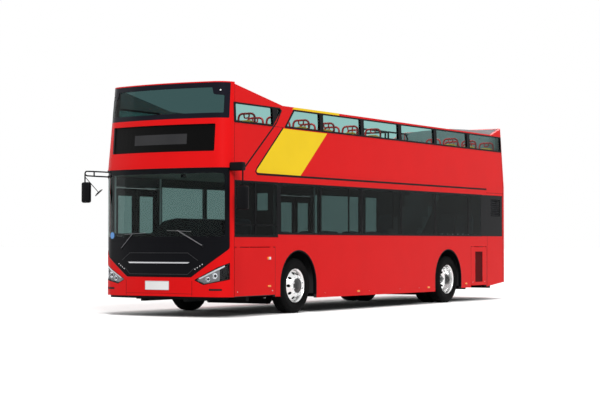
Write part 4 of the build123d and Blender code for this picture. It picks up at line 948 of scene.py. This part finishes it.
def add_rim(barrel, nuts, centre, side, way):
    """One rim: barrel with its lips, pierced disc, wheel nuts; way is 1 for a disc that stands out."""
    lip, half = 0.294, TYRE_W / 2 - 0.028
    profile = [(0.288, -half), (lip, -half - 0.006), (lip, -half), (0.283, -half + 0.01),
               (0.283, half - 0.01),
               (lip, half), (lip, half + 0.006), (0.288, half), (0.276, half - 0.012), (0.266, half - 0.05),
               (0.262, 0.02), (0.262, -half + 0.03), (0.276, -half + 0.012)]
    add_turned(barrel, profile, centre, (0, side, 0), 96)
    place = disc_place(centre, side, way)
    holes = [circle(0.221 * cos(pi * k / 5), 0.221 * sin(pi * k / 5), 0.027, 16) for k in range(10)]
    add_patch(barrel, [circle(0, 0, 0.264, 80), circle(0, 0, DISC_FLAT, 60)] + holes, place, -0.013, 0.0)
    add_patch(barrel, [circle(0, 0, DISC_FLAT, 60), circle(0, 0, 0.118, 40)], place, -0.013, 0.0)
    for k in range(10):
        angle = pi * (2 * k + 1) / 10
        foot = place(NUT_CIRCLE * cos(angle), NUT_CIRCLE * sin(angle), 0.0)
        add_drum(nuts, foot, (0, side * way, 0), 0.017, 0.006, 20, 0.016)
        add_drum(nuts, foot + Vector((0, side * way * 0.006, 0)), (0, side * way, 0), 0.0145, 0.020, 6,
                 0.0135)


def make_wheel(corner):
    """Tyre, rim and hub of one wheel; the rear wheels are pairs."""
    side, front = 1 if corner.endswith("left") else -1, corner.startswith("front")
    body = "wheel_" + corner
    low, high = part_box("tyre_" + corner)
    x, z = (low.x + high.x) / 2, (low.z + high.z) / 2
    outer_y = side * (TYRE_OUT - TYRE_W / 2)
    inner_y = outer_y - side * PAIR_GAP
    treads, metal, nuts, hub = (bmesh.new() for k in range(4))
    for y in [outer_y] if front else [outer_y, inner_y]:
        add_turned(treads, tyre_profile, (x, y, z), (0, 1, 0), TREAD_STEPS)
    add_rim(metal, nuts, Vector((x, outer_y, z)), side, 1 if front else -1)
    if front:
        add_turned(hub, FRONT_HUB, (x, outer_y + side * DISC_OUT, z), (0, side, 0), 48)
    else:
        add_rim(metal, nuts, Vector((x, inner_y, z)), side, 1)
        add_turned(hub, REAR_HUB, (x, outer_y - side * DISC_OUT, z), (0, side, 0), 48)
        for k in range(8):
            angle = pi * k / 4
            foot = (x + 0.066 * cos(angle), outer_y - side * (DISC_OUT - 0.146), z + 0.066 * sin(angle))
            add_drum(nuts, foot, (0, side, 0), 0.010, 0.010, 6)
    tyre = from_bmesh("tread_" + corner, treads, tyre_rubber, body, 28)
    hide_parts("tyre_" + corner)
    rim = from_bmesh("alloy_" + corner, metal, alloy, body, 28)
    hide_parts("rim_" + corner)
    from_bmesh("nuts_" + corner, nuts, chrome, body, 30)
    from_bmesh("hub_" + corner, hub, hub_dark, body, 30)


# Open deck

SEAT_YS = (0.56, 0.965)
FRONT_ROW, REAR_ROW = SEAM - 0.803, REAR + 0.337
LEFT_ROWS = [FRONT_ROW - 0.87 * k for k in range(6)] + [REAR_ROW + 0.87 * k for k in range(3)]
RIGHT_ROWS = [FRONT_ROW - (FRONT_ROW - REAR_ROW) * k / 11 for k in range(12)]
SEAT_TOP = DECK + 0.43


def shell_section(share):
    """Point (x, z) of a moulded seat's middle line, from its front lip at 0 to the top of its back at 1."""
    path = [(0.425, 0.005), (0.430, 0.030), (0.405, 0.046), (0.30, 0.040), (0.15, 0.030), (0.075, 0.045),
            (0.045, 0.10), (0.036, 0.20), (0.030, 0.32), (0.022, 0.40), (0.012, 0.430)]
    at = share * (len(path) - 1)
    k = min(int(at), len(path) - 2)
    t = at - k
    return tuple(a * (1 - t) + b * t for a, b in zip(path[k], path[k + 1]))


def add_shell(bm, x, y):
    """One moulded seat, dished in the middle and round at the top of its back."""
    rows, columns = 20, 8
    grid = []
    for i in range(rows + 1):
        share = i / rows
        px, pz = shell_section(share)
        row = []
        for j in range(columns + 1):
            v = 2 * j / columns - 1
            narrow = 1.0 - 0.16 * max(0.0, share - 0.72) / 0.28 - 0.06 * max(0.0, 0.15 - share) / 0.15
            dish = 0.018 * (1 - abs(v) ** 3)
            back = share > 0.5
            drop = 0.035 * abs(v) ** 4 if share > 0.9 else 0.0
            row.append(bm.verts.new((x + px - (dish if back else 0) + 0.016, y + v * 0.185 * narrow,
                                     SEAT_TOP + pz - (0 if back else dish) + 0.012 - drop)))
        grid.append(row)
    for i in range(rows):
        for j in range(columns):
            bm.faces.new([grid[i][j], grid[i][j + 1], grid[i + 1][j + 1], grid[i + 1][j]])


def make_deck_seats():
    """Moulded seats on tube hoops, with pedestals and rails."""
    shells, legs = bmesh.new(), bmesh.new()
    hoops, grips = [], []
    top = DECK + 0.984
    for side, rows in ((1, LEFT_ROWS), (-1, RIGHT_ROWS)):
        for x in rows:
            mid_x, post_y = x + 0.215, side * sum(SEAT_YS) / 2
            for y in (side * v for v in SEAT_YS):
                add_shell(shells, x, y)
                hoop = ((-0.165, SEAT_TOP - 0.02), (-0.165, top), (0.165, top), (0.165, SEAT_TOP - 0.02))
                hoops.append(([(x - 0.013, y + v, z) for v, z in hoop], 0.09))
                grip = ((-0.055, top), (-0.045, top - 0.075), (0.045, top - 0.075), (0.055, top))
                grips.append(([(x - 0.013, y + v, z) for v, z in grip], 0.025))
                for v in (-0.12, 0.12):
                    rail = [(x - 0.01, y + v, SEAT_TOP - 0.012), (x + 0.37, y + v, SEAT_TOP - 0.012)]
                    hoops.append((rail, 0))
            span = sorted((side * (SEAT_YS[0] - 0.12), side * (SEAT_YS[1] + 0.12)))
            add_block(legs, (mid_x - 0.035, mid_x + 0.035), span, (SEAT_TOP - 0.048, SEAT_TOP - 0.018), 0.006)
            add_block(legs, (mid_x - 0.028, mid_x + 0.028), (post_y - 0.028, post_y + 0.028),
                      (DECK + 0.010, SEAT_TOP - 0.045), 0.008)
            add_block(legs, (mid_x - 0.145, mid_x + 0.145), (post_y - 0.055, post_y + 0.055),
                      (DECK + 0.0005, DECK + 0.011), 0.003)
    obj = from_bmesh("deck_seat_shells", shells, shell_yellow, smooth=50)
    thick = obj.modifiers.new("thickness", "SOLIDIFY")
    thick.thickness = 0.012
    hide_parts("upper_seat_shells")
    hoop_obj = tubes("deck_seat_hoops", hoops, 0.0190, frame_red)
    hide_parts("upper_seat_frames")
    tubes("deck_seat_grips", grips, 0.013, frame_red, sides=2)
    from_bmesh("deck_seat_legs", legs, frame_red, smooth=40)


def make_deck_details():
    """Ledge and screws of the grey lining, the round end of the stair rail."""
    lining = bmesh.new()
    for side in (-1, 1):
        wall = HALF - WALL - TUMBLE * rise(3.15)
        y = sorted((side * (wall - 0.022), side * (wall + 0.004)))
        add_block(lining, (REAR + 0.16, SEAM - 0.35), y, (3.155, 3.185), 0.006)
    from_bmesh("lining_ledges", lining, lining_grey, smooth=40)
    screws = bmesh.new()
    face_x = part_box("rear_trim")[1].x - 0.001
    for k in range(9):
        add_drum(screws, (face_x, -0.96 + 0.24 * k, 3.52), (1, 0, 0), 0.009, 0.004, 12, 0.006)
    from_bmesh("lining_screws", screws, satin_black, smooth=40)
    ball = bmesh.new()
    bmesh.ops.create_uvsphere(ball, u_segments=20, v_segments=12, radius=0.028,
                              matrix=Matrix.Translation((-2.30, 0.535, DECK + 1.03)))
    from_bmesh("stair_rail_knob", ball, pack_grey, smooth=60)


# Lower deck and cab

HOOD_X, BULKHEAD_X = 5.10, 3.775


def add_cushion(bm, x, y, z, turn=None):
    """Crowned cushion between x, y and z pairs, with soft round edges."""
    made = bmesh.ops.create_cube(bm, size=2.0)
    edges = edges_of(made)
    bmesh.ops.subdivide_edges(bm, edges=edges, cuts=5, use_grid_fill=True)
    size = Vector(((x[1] - x[0]) / 2, (y[1] - y[0]) / 2, (z[1] - z[0]) / 2))
    middle = Vector(((x[0] + x[1]) / 2, (y[0] + y[1]) / 2, (z[0] + z[1]) / 2))
    for vertex in [v for v in bm.verts if not v.tag]:
        power = sum(abs(c) ** 5 for c in vertex.co) ** 0.2
        spot = Vector(c / power for c in vertex.co) * size
        if turn:
            spot = turn @ spot
        vertex.co = middle + spot
        vertex.tag = True


def make_lower_seats():
    """Padded benches on pedestals, and the driver's seat."""
    tilt = Matrix.Rotation(radians(-8), 3, "Y")
    rows = [(FRONT_AXLE_X - 1.17, (1, -1), 0.36), (FRONT_AXLE_X - 2.04, (1, -1), 0.36),
            (FRONT_AXLE_X - 2.91, (1,), 0.36),
            (COMPARTMENT_X + 0.40, (1, -1), 0.76)]
    seats = [(x, side, floor, 0.33, 1.15) for x, sides, floor in rows for side in sides]
    seats.append((SEAM - 0.88, 1, 0.56, 0.35, 0.85))
    pads, feet = bmesh.new(), bmesh.new()
    for x, side, floor, y0, y1 in seats:
        count = 2 if y1 - y0 > 0.6 else 1
        width = (y1 - y0) / count
        for k in range(count):
            y = sorted((side * (y0 + width * k + 0.006), side * (y0 + width * (k + 1) - 0.006)))
            add_cushion(pads, (x - 0.20, x + 0.228), y, (floor + 0.375, floor + 0.475))
            add_cushion(pads, (x - 0.275, x - 0.185), y, (floor + 0.42, floor + 1.08), tilt)
        post_y = side * (y0 + y1) / 2
        add_block(feet, (x - 0.05, x + 0.05), (post_y - 0.06, post_y + 0.06), (floor, floor + 0.38), 0.01)
        add_block(feet, (x - 0.27, x + 0.20), (post_y - 0.20, post_y + 0.20), (floor + 0.355, floor + 0.385),
                  0.01)
    add_block(feet, (SEAM - 1.08, SEAM - 0.68), (0.42, 0.78), (0.36, 0.562), 0.015)
    cushions = from_bmesh("lower_cushions", pads, fabric, smooth=60)
    from_bmesh("lower_seat_feet", feet, satin_black, smooth=40)
    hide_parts("lower_seats")


def make_cab():
    """Steering wheel and the instrument hood over the dashboard."""
    low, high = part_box("steering_wheel")
    middle = (low + high) / 2
    axis = Vector((-cos(radians(60)), 0, sin(radians(60))))
    grip, arms = bmesh.new(), bmesh.new()
    ring = [(0.225 + 0.0145 * cos(pi * k / 5), 0.0145 * sin(pi * k / 5)) for k in range(10)]
    add_turned(grip, ring, middle, axis, 56)
    across = axis.orthogonal().normalized()
    other = axis.cross(across)
    runs = []
    for k in range(3):
        angle = 2 * pi * k / 3 + pi / 2
        spoke = across * cos(angle) + other * sin(angle)
        run = [middle + spoke * 0.03, middle + spoke * 0.12 - axis * 0.004, middle + spoke * 0.224]
        runs.append((run, 0.05))
    boss = [(0.0005, 0.018), (0.038, 0.018), (0.052, 0.008), (0.052, -0.018), (0.0005, -0.018)]
    add_turned(arms, boss, middle, axis, 32)
    wheel = from_bmesh("wheel_grip", grip, cab_dark, "steering_wheel", 60)
    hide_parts("steering_wheel")
    from_bmesh("wheel_hub", arms, cab_dark, "steering_wheel", 40)
    tubes("wheel_spokes", runs, 0.010, steel, "steering_wheel")
    hood = bmesh.new()
    crest = rounded([(-0.34, 1.37), (1.13, 1.37), (1.13, 1.60), (0.20, 1.63), (-0.06, 1.585)],
                    [0, 0, 0.05, 0.2, 0.15])
    add_patch(hood, [crest], lambda y, z, out: Vector((HOOD_X + out, y, z)), -0.11, 0.11)
    from_bmesh("instrument_hood", hood, cab_dark, smooth=40)


def make_bulkhead():
    """Dark wall behind the driver with a small window."""
    bm = bmesh.new()
    wall = rectangle(0.36, HALF - WALL - 0.02, 0.37, 2.33)
    view = rounded(rectangle(0.855, 1.085, 1.778, 2.072), 0.02)
    add_patch(bm, [wall, view], lambda y, z, out: Vector((BULKHEAD_X + out, y, z)), -0.015, 0.015)
    from_bmesh("cab_bulkhead", bm, cab_dark)


# Rear

TAIL_Y = 1.04


def make_rear():
    """Round tail lamps in two columns."""
    plates = [[rounded(rectangle(y - 0.08, y + 0.08, 0.90, 1.50), 0.02)] for y in (-TAIL_Y, TAIL_Y)]
    patches("tail_lamp_seats", plates, on_rear, -0.045, -0.008, satin_black)
    lens = [(0.0005, 0.0), (0.066, 0.0), (0.066, 0.006), (0.050, 0.0115), (0.0005, 0.0125)]
    for kind, z, material, slot in (("red", 1.40, lamp_red, "lamp_red"), ("amber", 1.20, amber, "lamp_red"),
                                    ("white", 1.00, lamp_white, "lamp_clear")):
        lamps = bmesh.new()
        for y in (-TAIL_Y, TAIL_Y):
            add_turned(lamps, lens, (REAR + 0.0135, y, z), (-1, 0, 0), 40)
        from_bmesh(f"tail_lamps_{kind}", lamps, material, smooth=35)


# Making of all the pieces

dress_nodes()
dress_doors()
make_cowl()
make_mask()
make_windscreen()
make_wipers()
make_headlamps()
make_projectors()
make_fog_lamps()
make_prow()
make_livery()
make_deck_walls()
make_window_frames()
make_side_details()
make_mirrors()
make_mirror_arms()
for corner in ("front_left", "front_right", "rear_left", "rear_right"):
    make_wheel(corner)
make_deck_seats()
make_deck_details()
make_lower_seats()
make_cab()
make_bulkhead()
make_rear()


# Camera, floor and light

def make_camera():
    """Camera ahead of the front left corner, at a standing person's height."""
    data = bpy.data.cameras.new("camera")
    data.lens = CAMERA_LENS
    data.sensor_width = SENSOR
    data.clip_end = SIGHT
    camera = bpy.data.objects.new("camera", data)
    scene.collection.objects.link(camera)
    flat = cos(CAMERA_PITCH)
    ahead = Vector((-cos(CAMERA_YAW) * flat, -sin(CAMERA_YAW) * flat, sin(CAMERA_PITCH)))
    camera.location = CAMERA_AT
    camera.rotation_euler = ahead.to_track_quat("-Z", "Y").to_euler()
    scene.camera = camera


def make_sun(name, heading, height, spread, strength):
    """Broad soft light from one direction: heading and height above the floor in degrees."""
    data = bpy.data.lights.new(name, "SUN")
    data.energy = strength
    data.angle = radians(spread)
    lamp = bpy.data.objects.new(name, data)
    lamp.visible_transmission = False
    scene.collection.objects.link(lamp)
    flat = cos(radians(height))
    towards = Vector((cos(radians(heading)) * flat, sin(radians(heading)) * flat, sin(radians(height))))
    lamp.rotation_euler = towards.to_track_quat("Z", "Y").to_euler()


def seen_directly(tree):
    """1 for what the camera sees by itself, in a mirror or through glass, 0 for other light."""
    path = tree.nodes.new("ShaderNodeLightPath")
    total = path.outputs["Is Camera Ray"]
    for other in ("Is Glossy Ray", "Is Transmission Ray"):
        join = tree.nodes.new("ShaderNodeMath")
        join.operation = "MAXIMUM"
        tree.links.new(total, join.inputs[0])
        tree.links.new(path.outputs[other], join.inputs[1])
        total = join.outputs[0]
    return total


def make_world(fill):
    """White to look at, and an even level of light on the bus."""
    world = bpy.data.worlds.new("studio")
    scene.world = world
    world.use_nodes = True
    tree = world.node_tree
    background = tree.nodes["Background"]
    background.inputs["Color"].default_value = (1, 1, 1, 1)
    level = tree.nodes.new("ShaderNodeMapRange")
    level.inputs["To Min"].default_value = fill
    level.inputs["To Max"].default_value = 1.0
    tree.links.new(seen_directly(tree), level.inputs["Value"])
    tree.links.new(level.outputs["Result"], background.inputs["Strength"])


def make_floor(pale, bounce):
    """Pale floor that throws only a part of its light back on the bus."""
    size = 300.0
    mesh = bpy.data.meshes.new("floor")
    mesh.from_pydata([(-size, -size, 0), (size, -size, 0), (size, size, 0), (-size, size, 0)], [],
                     [(0, 1, 2, 3)])
    floor = bpy.data.objects.new("floor", mesh)
    scene.collection.objects.link(floor)
    material, tree, shader = new_material("floor_pale", (pale, pale, pale), 0.7, Specular_IOR_Level=0.0)
    dim = tree.nodes.new("ShaderNodeBsdfDiffuse")
    dim.inputs["Color"].default_value = (bounce, bounce, bounce, 1.0)
    choice = tree.nodes.new("ShaderNodeMixShader")
    tree.links.new(seen_directly(tree), choice.inputs["Fac"])
    tree.links.new(dim.outputs["BSDF"], choice.inputs[1])
    tree.links.new(shader.outputs["BSDF"], choice.inputs[2])
    tree.links.new(choice.outputs["Shader"], tree.nodes["Material Output"].inputs["Surface"])
    mesh.materials.append(material)


make_camera()
make_world(0.26)
make_floor(0.78, 0.35)
make_sun("top", 40, 78, 8, 2.3)
make_sun("key", 52, 38, 30, 2.3)
make_sun("right", -80, 12, 50, 0.8)
make_sun("rear", -150, 30, 40, 1.0)
